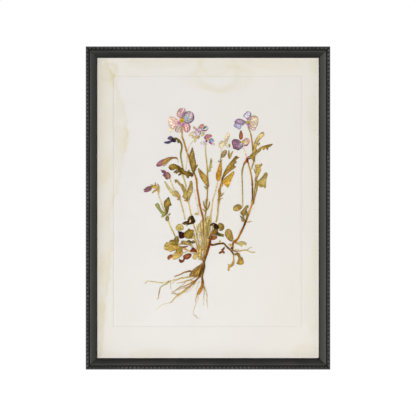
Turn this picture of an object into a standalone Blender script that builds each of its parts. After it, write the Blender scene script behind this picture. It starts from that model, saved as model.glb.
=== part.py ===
"""A pressed viola, whole from flower to root, mounted on a sheet behind glass
in a slim hanging frame.

The frame stands upright with its front towards -Y and its width along X.  The
origin is the hang point, on the wall plane behind the sawtooth hanger.
"""

import math

import bmesh
import bpy
import numpy as np
from mathutils import Matrix, Vector

MM = 0.001

# Outer size of the frame and of the opening that shows
FRAME_WIDTH = 244.4 * MM
FRAME_HEIGHT = 323.0 * MM
FRAME_DEPTH = 18.0 * MM
FACE_WIDTH = 11.25 * MM

# The hang point lies this far above the middle of the frame
HANG_RISE = 128.0 * MM

# The moulding, as depths in front of the wall and distances from its outer edge
RIDGE_WIDTH = 2.3 * MM
COVE_EDGE = 4.3 * MM
COVE_DEPTH = 16.4 * MM
STEP_EDGE = 10.3 * MM
STEP_DEPTH = 14.3 * MM
LIP_FRONT = 13.3 * MM
LIP_BACK = 11.5 * MM
REBATE_WIDTH = 4.1 * MM
MITRE_GAP = 0.05 * MM

# The notches that part the beads along the outer front edge
BEAD_PITCH = 4.142 * MM
NOTCH_DEPTH = 1.5 * MM

# The stack behind the lip
FIT_GAP = 0.4 * MM
GLASS_FRONT = 11.2 * MM
GLASS_BACK = 9.2 * MM
SHEET_WIDTH = 229.0 * MM
SHEET_HEIGHT = 305.0 * MM
SHEET_FRONT = 6.8 * MM
SHEET_BACK = 6.3 * MM
BOARD_FRONT = 6.0 * MM
BOARD_BACK = 3.0 * MM

# The flat driver points that hold the board
POINT_LENGTH = 15.0 * MM
POINT_WIDTH = 8.0 * MM
POINT_THICKNESS = 0.6 * MM
POINT_DEPTH = 2.4 * MM
POINT_BITE = 3.0 * MM
POINT_HEIGHTS = (88.0 * MM, -88.0 * MM)
SLOT_CLEARANCE = 0.3 * MM

# The sawtooth hanger
HANGER_LENGTH = 46.0 * MM
HANGER_HEIGHT = 9.0 * MM
HANGER_FOOT = 8.0 * MM
HANGER_RAMP = 2.0 * MM
HANGER_THICKNESS = 0.8 * MM
HANGER_RISE = 1.3 * MM
TOOTH_PITCH = 2.4 * MM
TOOTH_HEIGHT = 1.7 * MM
TOOTH_COUNT = 9

# The pressed plant lies in thin layers between the sheet and the glass
LAYER_FIRST = 7.08 * MM
LAYER_PITCH = 0.45 * MM
PIECE_THICKNESS = 0.35 * MM
FUSED_THICKNESS = 0.31 * MM

# Edges that turn by more than this stay crisp
SHARP_ANGLE = math.radians(30)

# Places on the sheet are pixels of the photograph, one to the millimetre
PHOTO_MIDDLE = (208.0, 208.0)
SCALE = 1.0 * MM

PAINT_BLACK = (0.052, 0.052, 0.050)
CLEAR_GLASS = (0.93, 0.96, 0.95)
AGED_PAPER = (0.82, 0.79, 0.73)
BOARD_BROWN = (0.33, 0.21, 0.12)
ZINC_GREY = (0.55, 0.55, 0.54)
STEM_TAN = (0.42, 0.26, 0.09)
LEAF_OLIVE = (0.26, 0.21, 0.06)
LEAF_DARK = (0.09, 0.06, 0.02)
LEAF_GOLD = (0.47, 0.31, 0.10)
PETAL_LILAC = (0.42, 0.30, 0.42)
PETAL_PLUM = (0.24, 0.10, 0.22)
PETAL_GHOST = (0.58, 0.44, 0.27)
ROOT_BROWN = (0.38, 0.24, 0.11)
CROWN_BROWN = (0.19, 0.06, 0.02)


def make_material(name, colour, roughness, metallic=0.0):
    """A Principled surface of one colour."""
    material = bpy.data.materials.new(name)
    material.use_nodes = True
    shader = material.node_tree.nodes["Principled BSDF"]
    shader.inputs["Base Color"].default_value = (*colour, 1.0)
    shader.inputs["Roughness"].default_value = roughness
    shader.inputs["Metallic"].default_value = metallic
    return material


def keep(part, name, material):
    """Names a finished part, gives it its material and files it with the object."""
    part.name = name
    part.data.materials.clear()
    part.data.materials.append(material)
    for group in list(part.users_collection):
        group.objects.unlink(part)
    PARTS.objects.link(part)
    return part


def keep_as_cutter(part, name):
    """Files a helper shape with the cutters, where it is neither drawn nor built."""
    part.name = name
    part.hide_render = True
    part.display_type = "WIRE"
    for group in list(part.users_collection):
        group.objects.unlink(part)
    CUTTERS.objects.link(part)
    return part


def make_plate(outline, thickness):
    """A flat mesh of the given outline in X and Z, its thickness centred on Y = 0."""
    curve = bpy.data.curves.new("outline", "CURVE")
    curve.dimensions = "2D"
    curve.fill_mode = "BOTH"
    curve.extrude = thickness / 2
    curve.render_resolution_u = 0
    spline = curve.splines.new("POLY")
    spline.points.add(len(outline) - 1)
    for point, (across, up) in zip(spline.points, outline):
        point.co = (across, up, 0.0, 1.0)
    spline.use_cyclic_u = True
    holder = bpy.data.objects.new("outline", curve)
    bpy.context.scene.collection.objects.link(holder)
    holder.rotation_euler = (math.pi / 2, 0.0, 0.0)
    bpy.context.view_layer.update()
    reader = bpy.context.evaluated_depsgraph_get()
    mesh = bpy.data.meshes.new_from_object(holder.evaluated_get(reader))
    mesh.transform(holder.matrix_world)
    bpy.data.objects.remove(holder)
    weld(mesh)
    mesh.set_sharp_from_angle(angle=SHARP_ANGLE)
    plate = bpy.data.objects.new("plate", mesh)
    bpy.context.scene.collection.objects.link(plate)
    return plate


def weld(mesh):
    """Joins the caps of a filled outline to its walls and turns all faces outward."""
    shell = bmesh.new()
    shell.from_mesh(mesh)
    bmesh.ops.remove_doubles(shell, verts=shell.verts, dist=1e-6)
    bmesh.ops.recalc_face_normals(shell, faces=shell.faces)
    shell.to_mesh(mesh)
    shell.free()


def make_box(size, centre):
    """A block of the given size about its centre."""
    bpy.ops.mesh.primitive_cube_add(size=1.0, location=centre)
    block = bpy.context.active_object
    block.scale = size
    bpy.ops.object.transform_apply(location=False, rotation=False, scale=True)
    return block


def combine(part, helper, operation):
    """Cuts a helper out of a part, or fuses it to the part."""
    boolean = part.modifiers.new(operation.title(), "BOOLEAN")
    boolean.operation = operation
    boolean.solver = "EXACT"
    boolean.object = helper


def rail_profile():
    """The moulding's section: distance from the outer edge, depth from the wall."""
    back_width = FACE_WIDTH - REBATE_WIDTH
    return [
        (0.0, 0.0),
        (back_width, 0.0),
        (back_width, LIP_BACK),
        (FACE_WIDTH, LIP_BACK),
        (FACE_WIDTH, LIP_FRONT),
        (STEP_EDGE, LIP_FRONT),
        (STEP_EDGE, STEP_DEPTH),
        (COVE_EDGE, COVE_DEPTH),
        (RIDGE_WIDTH, COVE_DEPTH),
        (RIDGE_WIDTH, FRAME_DEPTH),
        (0.0, FRAME_DEPTH),
    ]


def make_notches(length, reach, name):
    """A row of three-sided bars laid across the outer front corner of a rail.

    Each bar's edge points into the corner at 45 degrees, NOTCH_DEPTH deep.
    """
    count = round(length / BEAD_PITCH)
    radius = 2.4 * NOTCH_DEPTH
    bpy.ops.mesh.primitive_cylinder_add(vertices=3, radius=radius, depth=4 * NOTCH_DEPTH)
    bar = bpy.context.active_object
    inward = Vector((0.0, 1.0, 1.0)).normalized()
    along_corner = Vector((0.0, 1.0, -1.0)).normalized()
    turn = Matrix((inward.cross(along_corner), inward, along_corner)).transposed()
    bar.data.transform(turn.to_4x4())
    corner = Vector((0.0, -FRAME_DEPTH, 0.0))
    first = (0.5 - count / 2) * BEAD_PITCH
    move = corner + inward * (NOTCH_DEPTH - radius) + Vector((first, 0.0, 0.0))
    bar.data.transform(Matrix.Translation(move))
    row = bar.modifiers.new("Row", "ARRAY")
    row.count = count
    row.use_relative_offset = False
    row.use_constant_offset = True
    row.constant_offset_displace = (BEAD_PITCH, 0.0, 0.0)
    bar.matrix_world = reach
    return keep_as_cutter(bar, name)


def make_rail(name, length, place, slots=()):
    """One mitred side of the frame, with its rebate, its notched edge and its slots.

    It is made lying along X, with its outer side at Z = 0 and its back at Y = 0.
    """
    section = [(distance, -depth) for distance, depth in rail_profile()]
    rail = make_plate(section, length)
    upright = Matrix(((0, 1, 0, 0), (0, 0, 1, 0), (1, 0, 0, 0), (0, 0, 0, 1)))
    rail.data.transform(upright)
    for vertex in rail.data.vertices:
        across = vertex.co.z
        end = length / 2 - across - MITRE_GAP
        vertex.co.x = math.copysign(end, vertex.co.x)
    weld(rail.data)
    rail.matrix_world = place
    combine(rail, make_notches(length, place, name + "_notches"), "DIFFERENCE")
    for slot in slots:
        combine(rail, slot, "DIFFERENCE")
    return keep(rail, name, MATERIALS["frame_paint"])


def make_frame():
    """Four mitred rails around the opening, and the slots for the driver points."""
    middle = Vector((0.0, 0.0, -HANG_RISE))
    half_width = FRAME_WIDTH / 2
    half_height = FRAME_HEIGHT / 2
    points = {-1: [], 1: []}
    for side in points:
        for height in POINT_HEIGHTS:
            points[side].append(make_point_slot(side, height))
    turns = {
        "rail_bottom": (FRAME_WIDTH, 0.0, Vector((0.0, 0.0, -half_height)), ()),
        "rail_right": (FRAME_HEIGHT, -math.pi / 2, Vector((half_width, 0.0, 0.0)), points[1]),
        "rail_top": (FRAME_WIDTH, math.pi, Vector((0.0, 0.0, half_height)), ()),
        "rail_left": (FRAME_HEIGHT, math.pi / 2, Vector((-half_width, 0.0, 0.0)), points[-1]),
    }
    for name, (length, turn, edge, slots) in turns.items():
        place = Matrix.Translation(middle + edge) @ Matrix.Rotation(turn, 4, "Y")
        make_rail(name, length, place, slots)


def point_centre(side, height):
    """The middle of a driver point, whose outer end is sunk in the side rail."""
    inner_wall = FRAME_WIDTH / 2 - FACE_WIDTH + REBATE_WIDTH
    across = side * (inner_wall + POINT_BITE - POINT_LENGTH / 2)
    return Vector((across, -POINT_DEPTH, height - HANG_RISE))


def make_point_slot(side, height):
    """The slot that a driver point makes in the rail."""
    size = (
        POINT_LENGTH + 2 * SLOT_CLEARANCE,
        POINT_THICKNESS + 2 * SLOT_CLEARANCE,
        POINT_WIDTH + 2 * SLOT_CLEARANCE,
    )
    slot = make_box(size, point_centre(side, height))
    return keep_as_cutter(slot, "point_slot")


def make_driver_points():
    """Flat steel points, pointed at both ends, driven into the rails over the board."""
    half_length = POINT_LENGTH / 2
    half_width = POINT_WIDTH / 2
    shoulder = half_length - half_width
    outline = [
        (half_length, 0.0),
        (shoulder, half_width),
        (-shoulder, half_width),
        (-half_length, 0.0),
        (-shoulder, -half_width),
        (shoulder, -half_width),
    ]
    for side, side_name in ((-1, "left"), (1, "right")):
        for height, height_name in zip(POINT_HEIGHTS, ("upper", "lower")):
            point = make_plate(outline, POINT_THICKNESS)
            point.location = point_centre(side, height)
            keep(point, f"driver_point_{side_name}_{height_name}", MATERIALS["zinc_steel"])


def make_stack():
    """The glass, the sheet and the backing board, from the front to the back."""
    opening_width = FRAME_WIDTH - 2 * (FACE_WIDTH - REBATE_WIDTH) - 2 * FIT_GAP
    opening_height = FRAME_HEIGHT - 2 * (FACE_WIDTH - REBATE_WIDTH) - 2 * FIT_GAP
    layers = (
        ("glass", opening_width, opening_height, GLASS_FRONT, GLASS_BACK, "clear_glass"),
        ("sheet", SHEET_WIDTH, SHEET_HEIGHT, SHEET_FRONT, SHEET_BACK, "aged_paper"),
        ("backing_board", opening_width, opening_height, BOARD_FRONT, BOARD_BACK, "fibreboard"),
    )
    for name, width, height, front, back, finish in layers:
        centre = (0.0, -(front + back) / 2, -HANG_RISE)
        keep(make_box((width, front - back, height), centre), name, MATERIALS[finish])


def make_hanger():
    """A steel strip bent to a low bridge, its middle toothed along the lower edge.

    The strip's bent section is drawn in X and Y and is given its height along Z.
    """
    half = HANGER_LENGTH / 2
    foot = half - HANGER_FOOT
    deck = foot - HANGER_RAMP
    seat = BOARD_BACK - 0.1 * MM
    low = -seat
    high = low + HANGER_RISE
    under = [(half, low), (foot, low), (deck, high), (-deck, high), (-foot, low), (-half, low)]
    over = [(across, depth + HANGER_THICKNESS) for across, depth in reversed(under)]
    strip = make_plate(under + over, HANGER_HEIGHT)
    strip.data.transform(Matrix.Rotation(-math.pi / 2, 4, "X"))
    first = -(TOOTH_COUNT - 1) / 2
    centres = [(first + index) * TOOTH_PITCH for index in range(TOOTH_COUNT)]
    bottom = -HANGER_HEIGHT / 2
    comb = []
    for centre in centres:
        comb.append((centre - TOOTH_PITCH / 2, bottom))
        comb.append((centre, bottom + TOOTH_HEIGHT))
    comb.append((centres[-1] + TOOTH_PITCH / 2, bottom))
    comb.append((centres[-1] + TOOTH_PITCH / 2, bottom - TOOTH_HEIGHT))
    comb.append((centres[0] - TOOTH_PITCH / 2, bottom - TOOTH_HEIGHT))
    teeth = keep_as_cutter(make_plate(comb, FRAME_DEPTH), "hanger_teeth")
    combine(strip, teeth, "DIFFERENCE")
    rise = HANGER_HEIGHT / 2 - TOOTH_HEIGHT
    strip.location = (0.0, 0.0, rise)
    teeth.location = (0.0, 0.0, rise)
    keep(strip, "hanger", MATERIALS["zinc_steel"])


def on_sheet(places):
    """Photograph pixels as metres right of and above the middle of the sheet."""
    pixels = np.asarray(places, dtype=float)
    across = (pixels[..., 0] - PHOTO_MIDDLE[0]) * SCALE
    up = (PHOTO_MIDDLE[1] - pixels[..., 1]) * SCALE
    return np.stack((across, up), axis=-1)


def smooth_route(points, steps):
    """A smooth line through every point, each span a cubic between its neighbours."""
    padded = np.vstack((2 * points[0] - points[1], points, 2 * points[-1] - points[-2]))
    before, start, end, after = padded[:-3], padded[1:-2], padded[2:-1], padded[3:]
    t = (np.arange(steps) / steps)[:, None, None]
    curve = start + 0.5 * t * (
        (end - before)
        + t * (2 * before - 5 * start + 4 * end - after + t * (3 * (start - end) + after - before))
    )
    line = curve.transpose(1, 0, 2).reshape(-1, 2)
    return np.vstack((line, points[-1]))


def ribbon(places, first_width, last_width, steps=2):
    """The outline of a stem or a root: a smooth line with a width that tapers."""
    line = smooth_route(on_sheet(places), steps)
    run = np.gradient(line, axis=0)
    run /= np.linalg.norm(run, axis=1, keepdims=True)
    side = np.column_stack((-run[:, 1], run[:, 0]))
    half = np.linspace(first_width, last_width, len(line))[:, None] * MM / 2
    return np.vstack((line + side * half, (line - side * half)[::-1]))


def blade(base, tip, width, bow=0.0, widest=0.5, teeth=0, notch=0.3, points=9):
    """The outline of a leaf, from its base to its tip.

    Its midrib bows sideways like a parabola.  Its half width swells like a sine to
    the widest place and closes again, and each tooth takes a notch out of it.
    """
    ends = on_sheet((base, tip))
    run = ends[1] - ends[0]
    side = np.array((-run[1], run[0])) / np.linalg.norm(run)
    t = np.linspace(0.04, 1.0, points)
    if teeth:
        t = np.linspace(0.04, 1.0, 2 * teeth + 1)
    midrib = ends[0] + t[:, None] * run + (4 * t * (1 - t) * bow * MM)[:, None] * side
    swell = np.sin(math.pi * t ** (math.log(0.5) / math.log(widest))) ** 0.8
    if teeth:
        swell[1:-1:2] *= 1 - notch
    half = (swell * width * MM / 2 + 0.25 * MM)[:, None]
    return np.vstack((midrib + side * half, (midrib - side * half)[::-1]))


def lobes(centre, ovals, points=32):
    """The outline of petals or leaf lobes that meet round a centre.

    Along each ray from the centre it runs out to the far side of the furthest oval.
    An oval is its middle, its two half sizes and its tilt in degrees.
    """
    middle = on_sheet(centre)
    angles = np.arange(points) * 2 * math.pi / points
    rays = np.column_stack((np.cos(angles), np.sin(angles)))
    reach = np.full(points, 0.6 * MM)
    for across, down, half_long, half_wide, tilt in ovals:
        offset = middle - on_sheet((across, down))
        turn = math.radians(tilt)
        axes = np.array(((math.cos(turn), math.sin(turn)), (-math.sin(turn), math.cos(turn))))
        axes /= np.array(((half_long,), (half_wide,))) * MM
        ray = rays @ axes.T
        start = offset @ axes.T
        square = (ray ** 2).sum(axis=1)
        along = ray @ start
        inside = along ** 2 - square * (start @ start - 1)
        far = (np.sqrt(np.maximum(inside, 0.0)) - along) / square
        reach = np.where(inside > 0, np.maximum(reach, far), reach)
    return middle + rays * reach[:, None]


def press(name, layer, finish, *outlines):
    """A flat pressed piece in its layer, its outlines fused in one solid."""
    depth = -(LAYER_FIRST + layer * LAYER_PITCH)
    place = Vector((0.0, depth, -HANG_RISE))
    piece = make_plate(outlines[0], PIECE_THICKNESS)
    piece.location = place
    for outline in outlines[1:]:
        extra = make_plate(outline, FUSED_THICKNESS)
        extra.location = place
        combine(piece, keep_as_cutter(extra, name + "_lobe"), "UNION")
    return keep(piece, name, MATERIALS[finish])


def make_stems():
    """The flowering stems, from under each flower down to the crown."""
    press("stem_tall_left", 0, "stem_tan", ribbon(
        [(182, 126), (182, 136), (185.7, 148.7), (188.9, 159), (192, 169), (196.5, 180),
         (198, 193), (200, 206), (203, 218), (203, 228), (202, 246), (201, 252)], 1.6, 2.2))
    press("stem_left_bud", 1, "stem_tan",
          ribbon([(178.5, 140), (180, 143), (181.3, 147), (181, 153), (181.5, 160), (182.6, 173),
                  (184, 179), (186, 187), (188.5, 201), (190.5, 212), (194, 226), (197.5, 238),
                  (200, 249)], 1.4, 1.4),
          ribbon([(195, 139), (188.6, 147.4), (187, 154), (186.4, 166), (183.4, 177)], 0.9, 1.1))
    press("stem_middle", 2, "stem_tan", ribbon(
        [(206.3, 143), (205.5, 150), (206.7, 162), (207.5, 175), (208, 182), (207, 200),
         (205, 218)], 1.3, 1.6))
    press("stem_low_bud", 0, "stem_tan", ribbon(
        [(168.5, 176), (171, 182), (175, 191), (180, 200), (184, 215), (185, 220)], 1.2, 1.3))
    press("stem_far_left", 0, "stem_tan", ribbon(
        [(156.5, 190), (159, 197), (163, 208), (166, 214), (170, 226), (175, 236)], 1.2, 1.5))
    press("stem_faded", 1, "petal_ghost",
          ribbon([(221.8, 146), (221, 157), (218.5, 176), (216, 190), (213, 200), (211, 215),
                  (211, 223)], 1.2, 1.4),
          blade((221, 158), (225.5, 150.5), 5.0, widest=0.55))
    press("stem_short_right", 0, "stem_tan", ribbon(
        [(222, 178), (219.5, 190), (218, 208), (216, 222)], 1.5, 1.6))
    press("stem_right", 1, "stem_tan", ribbon(
        [(248.5, 163), (250.5, 172), (252.3, 183), (253.3, 196), (250.5, 208), (245, 222),
         (238, 239), (233.5, 243), (231, 249)], 1.8, 2.2))
    press("stem_right_flower", 2, "stem_tan", ribbon(
        [(247.5, 126), (249.5, 132), (251.8, 140), (253.5, 149), (254, 160), (251.5, 169)],
        1.4, 1.5))
    press("stem_right_inner", 0, "stem_tan", ribbon(
        [(243.5, 147), (245.5, 153), (247.5, 158), (246, 162), (243, 169), (242.5, 180),
         (242.7, 194), (242.5, 207)], 1.3, 1.4))


def make_crown_and_runner():
    """The woody crown with its taproot, and to its right the runner, with the leaf at
    its tip, and the twig."""
    press("crown", 1, "crown_brown", ribbon(
        [(213, 229), (211, 239), (208, 250), (205.5, 259), (203.2, 267), (202, 276),
         (202.7, 285), (199, 291.5), (196, 295.5)], 2.6, 2.8))
    press("runner", 2, "crown_brown",
          ribbon([(211, 244), (219, 244), (224.5, 243.8), (229, 249), (233, 254), (233.8, 260)],
                 1.8, 1.5),
          blade((234.5, 257), (228.2, 271), 4.6, bow=-0.8, widest=0.6))
    press("twig", 1, "stem_tan",
          ribbon([(234.5, 251.8), (240, 251), (248, 250.4), (252.7, 248.4)], 1.3, 0.9),
          ribbon([(246.5, 250.6), (250, 251.2), (256, 252.5)], 1.1, 0.8))


def make_roots():
    """The roots, parted at their main forks."""
    press("root_head", 0, "root_brown",
          blade((204, 262.5), (189, 276), 6.5, bow=-1.0, widest=0.62),
          ribbon([(192, 270.5), (186, 271.3), (178, 275), (172.5, 277.3)], 1.4, 0.8))
    press("root_long", 0, "root_brown", ribbon(
        [(189, 277.8), (178, 279), (170, 281.5), (162, 282.6), (155, 282.3), (149, 281.3),
         (145, 283.8)], 1.6, 0.9))
    press("root_drop", 1, "root_brown", ribbon(
        [(169, 281.5), (163, 285.5), (159.5, 290), (158.3, 298), (156, 299.5)], 1.1, 1.1))
    press("root_middle", 2, "root_brown",
          ribbon([(200, 276.5), (193, 284), (185, 290.5), (178, 296), (170.5, 303.3)], 1.8, 1.0),
          ribbon([(189, 287.5), (180, 289), (171, 292)], 0.9, 0.7),
          ribbon([(192, 284), (185, 281.8), (177, 283)], 0.9, 0.7))
    press("root_lower", 2, "root_brown", ribbon(
        [(196.8, 294), (196.2, 299), (196.6, 303.5), (193.6, 309), (192.6, 314), (195.5, 316.5)],
        2.2, 1.2))
    press("root_thread", 2, "root_brown",
          ribbon([(203, 284), (204.3, 292), (203.5, 305)], 1.1, 0.8),
          ribbon([(203, 285), (206.3, 293.5), (207.5, 308.5)], 1.0, 0.8))


def make_flowers():
    """The pressed flowers, the petals of each fused round its centre."""
    press("flower_large", 3, "petal_lilac", lobes(
        (182, 120.5), [(181.5, 113.2, 5.8, 5.6, 0), (189, 117, 5.7, 5.6, 0),
                       (174.2, 121.3, 6.2, 6.0, 0), (177.5, 127.6, 4.2, 4.0, 0),
                       (186.6, 127, 4.6, 4.8, 0)], 40))
    press("flower_small_left", 3, "petal_lilac", lobes(
        (198.3, 131), [(201.2, 126.2, 3.4, 3.0, 0), (205, 128.4, 3.1, 3.0, 0),
                       (194.2, 128.4, 2.6, 2.4, 0), (192.4, 133, 3.8, 2.5, 35),
                       (196, 137, 2.8, 4.6, -10), (202.8, 134.4, 2.4, 2.0, 0)], 36))
    press("flower_small_middle", 4, "petal_lilac", lobes(
        (207.8, 139.6), [(208, 136.8, 4.0, 3.0, 0), (211.5, 141.2, 3.2, 3.4, 0),
                         (206, 142.2, 2.4, 2.2, 0), (203.2, 143, 3.2, 2.2, 20)]))
    press("flower_faded", 3, "petal_ghost", lobes(
        (223.5, 143), [(227.6, 137, 1.9, 5.6, -12), (221.6, 143.8, 2.7, 4.2, 0),
                       (226.5, 144.5, 2.0, 2.4, 0)]))
    press("flower_plum", 3, "petal_plum", lobes(
        (240.8, 141), [(237.4, 144.4, 5.2, 4.6, 0), (245.3, 142, 4.3, 3.8, 0),
                       (241.2, 135, 2.1, 5.6, 4)], 40))
    press("flower_right", 3, "petal_lilac", lobes(
        (247.8, 121), [(247.4, 115.2, 4.1, 4.2, 0), (239.4, 121.6, 4.4, 2.6, 8),
                       (238, 126.2, 4.5, 2.9, 20), (253.6, 120.6, 4.6, 5.2, 0),
                       (249, 126.6, 4.3, 3.8, 0)], 40))


def make_buds():
    """Closed flowers with their calyx."""
    press("bud_indigo", 2, "petal_plum", lobes(
        (172.5, 139.6), [(168.5, 140.2, 5.0, 2.5, 25), (176.6, 139.6, 2.8, 2.5, 0)], 24))
    press("bud_hooked", 2, "petal_plum", lobes(
        (164, 160.6), [(159.6, 162.4, 4.2, 3.2, 40), (168.5, 158.9, 7.4, 1.9, 8)], 24))
    press("bud_open", 2, "petal_plum", lobes(
        (166, 173), [(163.3, 171.3, 2.4, 2.2, 0), (167, 174.8, 3.5, 3.5, 0)], 20))
    press("bud_far_left", 2, "petal_plum", lobes(
        (152, 188.5), [(147.6, 189.2, 4.8, 2.7, 14), (154.2, 188, 4.0, 4.8, 0)], 24))


def make_leaves():
    """The leaves and lobed stipules, those of one joint of a stem fused in pairs."""
    press("leaf_hooked", 3, "leaf_olive",
          blade((192.5, 176.5), (169, 167), 6.6, bow=3.0, widest=0.62, teeth=5))
    press("leaf_left_long", 3, "leaf_gold",
          blade((180, 199.5), (163.5, 181), 7.0, bow=0.8, widest=0.45, teeth=4, notch=0.15))
    press("leaf_pair_left", 3, "leaf_olive",
          blade((188.5, 201), (175, 179.8), 5.0, bow=1.4, teeth=4, notch=0.15),
          blade((188.5, 201.5), (190.8, 179.5), 5.2, bow=-1.2, teeth=4, notch=0.15))
    press("leaf_tall", 3, "leaf_olive",
          blade((194.5, 174), (192, 147.5), 7.6, widest=0.42, teeth=5))
    press("leaf_middle_right", 3, "leaf_olive",
          blade((207.5, 173.5), (211.2, 157.8), 5.0, bow=-0.5, teeth=3))
    press("leaf_middle_left", 3, "leaf_olive",
          blade((208.6, 189), (198.4, 168.2), 5.6, widest=0.62, teeth=3, notch=0.15),
          blade((208.6, 189.2), (203.6, 183.2), 2.8, widest=0.62))
    press("leaf_orange", 2, "leaf_gold",
          blade((218.6, 182.5), (220.5, 160), 6.4, bow=1.4, widest=0.4, teeth=4, notch=0.15))
    press("leaf_pair_right", 3, "leaf_olive",
          blade((221.6, 179.5), (237.8, 156.3), 7.2, bow=0.6, widest=0.48, teeth=5, notch=0.2),
          blade((222.5, 184), (233.8, 171.5), 8.0, bow=-1.2, widest=0.45, teeth=3, notch=0.1))
    press("leaf_pair_top_right", 3, "leaf_gold",
          blade((252.6, 158.5), (264.2, 133), 4.2, bow=1.6, widest=0.6, teeth=4, notch=0.2),
          blade((252.2, 159), (272.8, 144), 5.8, bow=3.0, widest=0.5, teeth=4, notch=0.25))
    press("leaf_group_right", 3, "leaf_gold",
          blade((255.3, 183.5), (260.8, 163.6), 7.2, widest=0.66, teeth=3, notch=0.15),
          blade((254.5, 182.5), (268, 181), 14.5, bow=-1.0, widest=0.62),
          blade((252.8, 200.5), (257.6, 180), 4.8, bow=-0.6))
    press("leaf_group_low_right", 3, "leaf_olive",
          lobes((241.5, 209), [(237.6, 207.8, 4.7, 2.9, 0), (243.5, 216, 2.9, 6.2, 0),
                               (246, 208.6, 2.8, 1.4, 45)]))
    press("leaf_low_round", 3, "leaf_gold",
          blade((233, 242.5), (226.8, 228.8), 9.0, widest=0.56),
          blade((232.5, 241.5), (247.2, 243.2), 3.4, widest=0.7))
    press("leaf_fan", 3, "leaf_gold",
          ribbon([(233.4, 249.4), (236.8, 252), (238.4, 255.5), (239, 259)], 1.4, 1.8),
          lobes((240.2, 261), [(240.5, 261.6, 3.7, 4.3, 0)], 16))
    press("leaf_pair_far_left", 3, "leaf_olive",
          lobes((165.5, 213), [(158.8, 206.6, 3.0, 5.4, 32), (167.6, 204.6, 3.5, 7.4, -8),
                               (167, 218.6, 2.3, 3.2, 0), (162, 216, 2.4, 1.8, 0)], 40))
    press("leaf_dark_upper", 3, "leaf_dark",
          lobes((184, 228.5), [(188.6, 220.4, 6.2, 4.4, 0), (179.4, 227.4, 4.7, 3.8, 0),
                               (188.6, 233.4, 4.9, 5.1, 0), (181.2, 235.5, 3.4, 3.6, 0)], 40))
    press("leaf_low_left", 2, "leaf_gold",
          lobes((174.5, 248.5), [(167.4, 246.4, 3.7, 4.0, 0), (173.8, 242.2, 4.8, 3.4, 0),
                                 (178.4, 249.5, 3.2, 3.6, 0), (177, 256, 5.6, 3.8, 0),
                                 (168.8, 257.4, 2.9, 1.9, 0)], 40))
    press("leaf_low_middle", 3, "leaf_gold",
          lobes((190.5, 249), [(186.4, 246.6, 3.6, 4.8, 0), (191.5, 242.4, 5.0, 1.9, 0),
                               (194.6, 256, 3.1, 4.6, 0), (200, 256, 2.0, 5.4, 0),
                               (184.6, 257.6, 5.4, 1.5, 32), (196, 249.5, 4.6, 2.8, 0)], 40))
    press("leaf_low_right", 3, "leaf_dark",
          lobes((216, 230), [(214.5, 226.2, 4.8, 3.0, 0), (221, 226.6, 3.4, 3.7, 0),
                             (214.4, 233, 3.8, 4.0, 0), (220.4, 234.2, 4.2, 1.9, 0),
                             (214, 237.8, 3.2, 2.4, 0)], 40))
    press("leaf_pair_centre", 4, "leaf_gold",
          blade((201.5, 253), (199.4, 220), 6.4, widest=0.4),
          blade((202.5, 249), (207.6, 215.5), 6.6, bow=-1.6, widest=0.62))


def make_materials():
    """Every finish of the frame and the plant."""
    finishes = {
        "frame_paint": (PAINT_BLACK, 0.45, 0.0),
        "clear_glass": (CLEAR_GLASS, 0.03, 0.0),
        "aged_paper": (AGED_PAPER, 0.9, 0.0),
        "fibreboard": (BOARD_BROWN, 0.8, 0.0),
        "zinc_steel": (ZINC_GREY, 0.35, 1.0),
        "stem_tan": (STEM_TAN, 0.75, 0.0),
        "leaf_olive": (LEAF_OLIVE, 0.75, 0.0),
        "leaf_dark": (LEAF_DARK, 0.75, 0.0),
        "leaf_gold": (LEAF_GOLD, 0.75, 0.0),
        "petal_lilac": (PETAL_LILAC, 0.8, 0.0),
        "petal_plum": (PETAL_PLUM, 0.8, 0.0),
        "petal_ghost": (PETAL_GHOST, 0.8, 0.0),
        "root_brown": (ROOT_BROWN, 0.85, 0.0),
        "crown_brown": (CROWN_BROWN, 0.8, 0.0),
    }
    return {name: make_material(name, *values) for name, values in finishes.items()}


for old in list(bpy.data.objects):
    bpy.data.objects.remove(old)
PARTS = bpy.data.collections.new("pressed_flower_frame")
CUTTERS = bpy.data.collections.new("cutters")
bpy.context.scene.collection.children.link(PARTS)
bpy.context.scene.collection.children.link(CUTTERS)
MATERIALS = make_materials()

make_frame()
make_driver_points()
make_stack()
make_hanger()
make_stems()
make_crown_and_runner()
make_roots()
make_flowers()
make_buds()
make_leaves()
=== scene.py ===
import math

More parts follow.
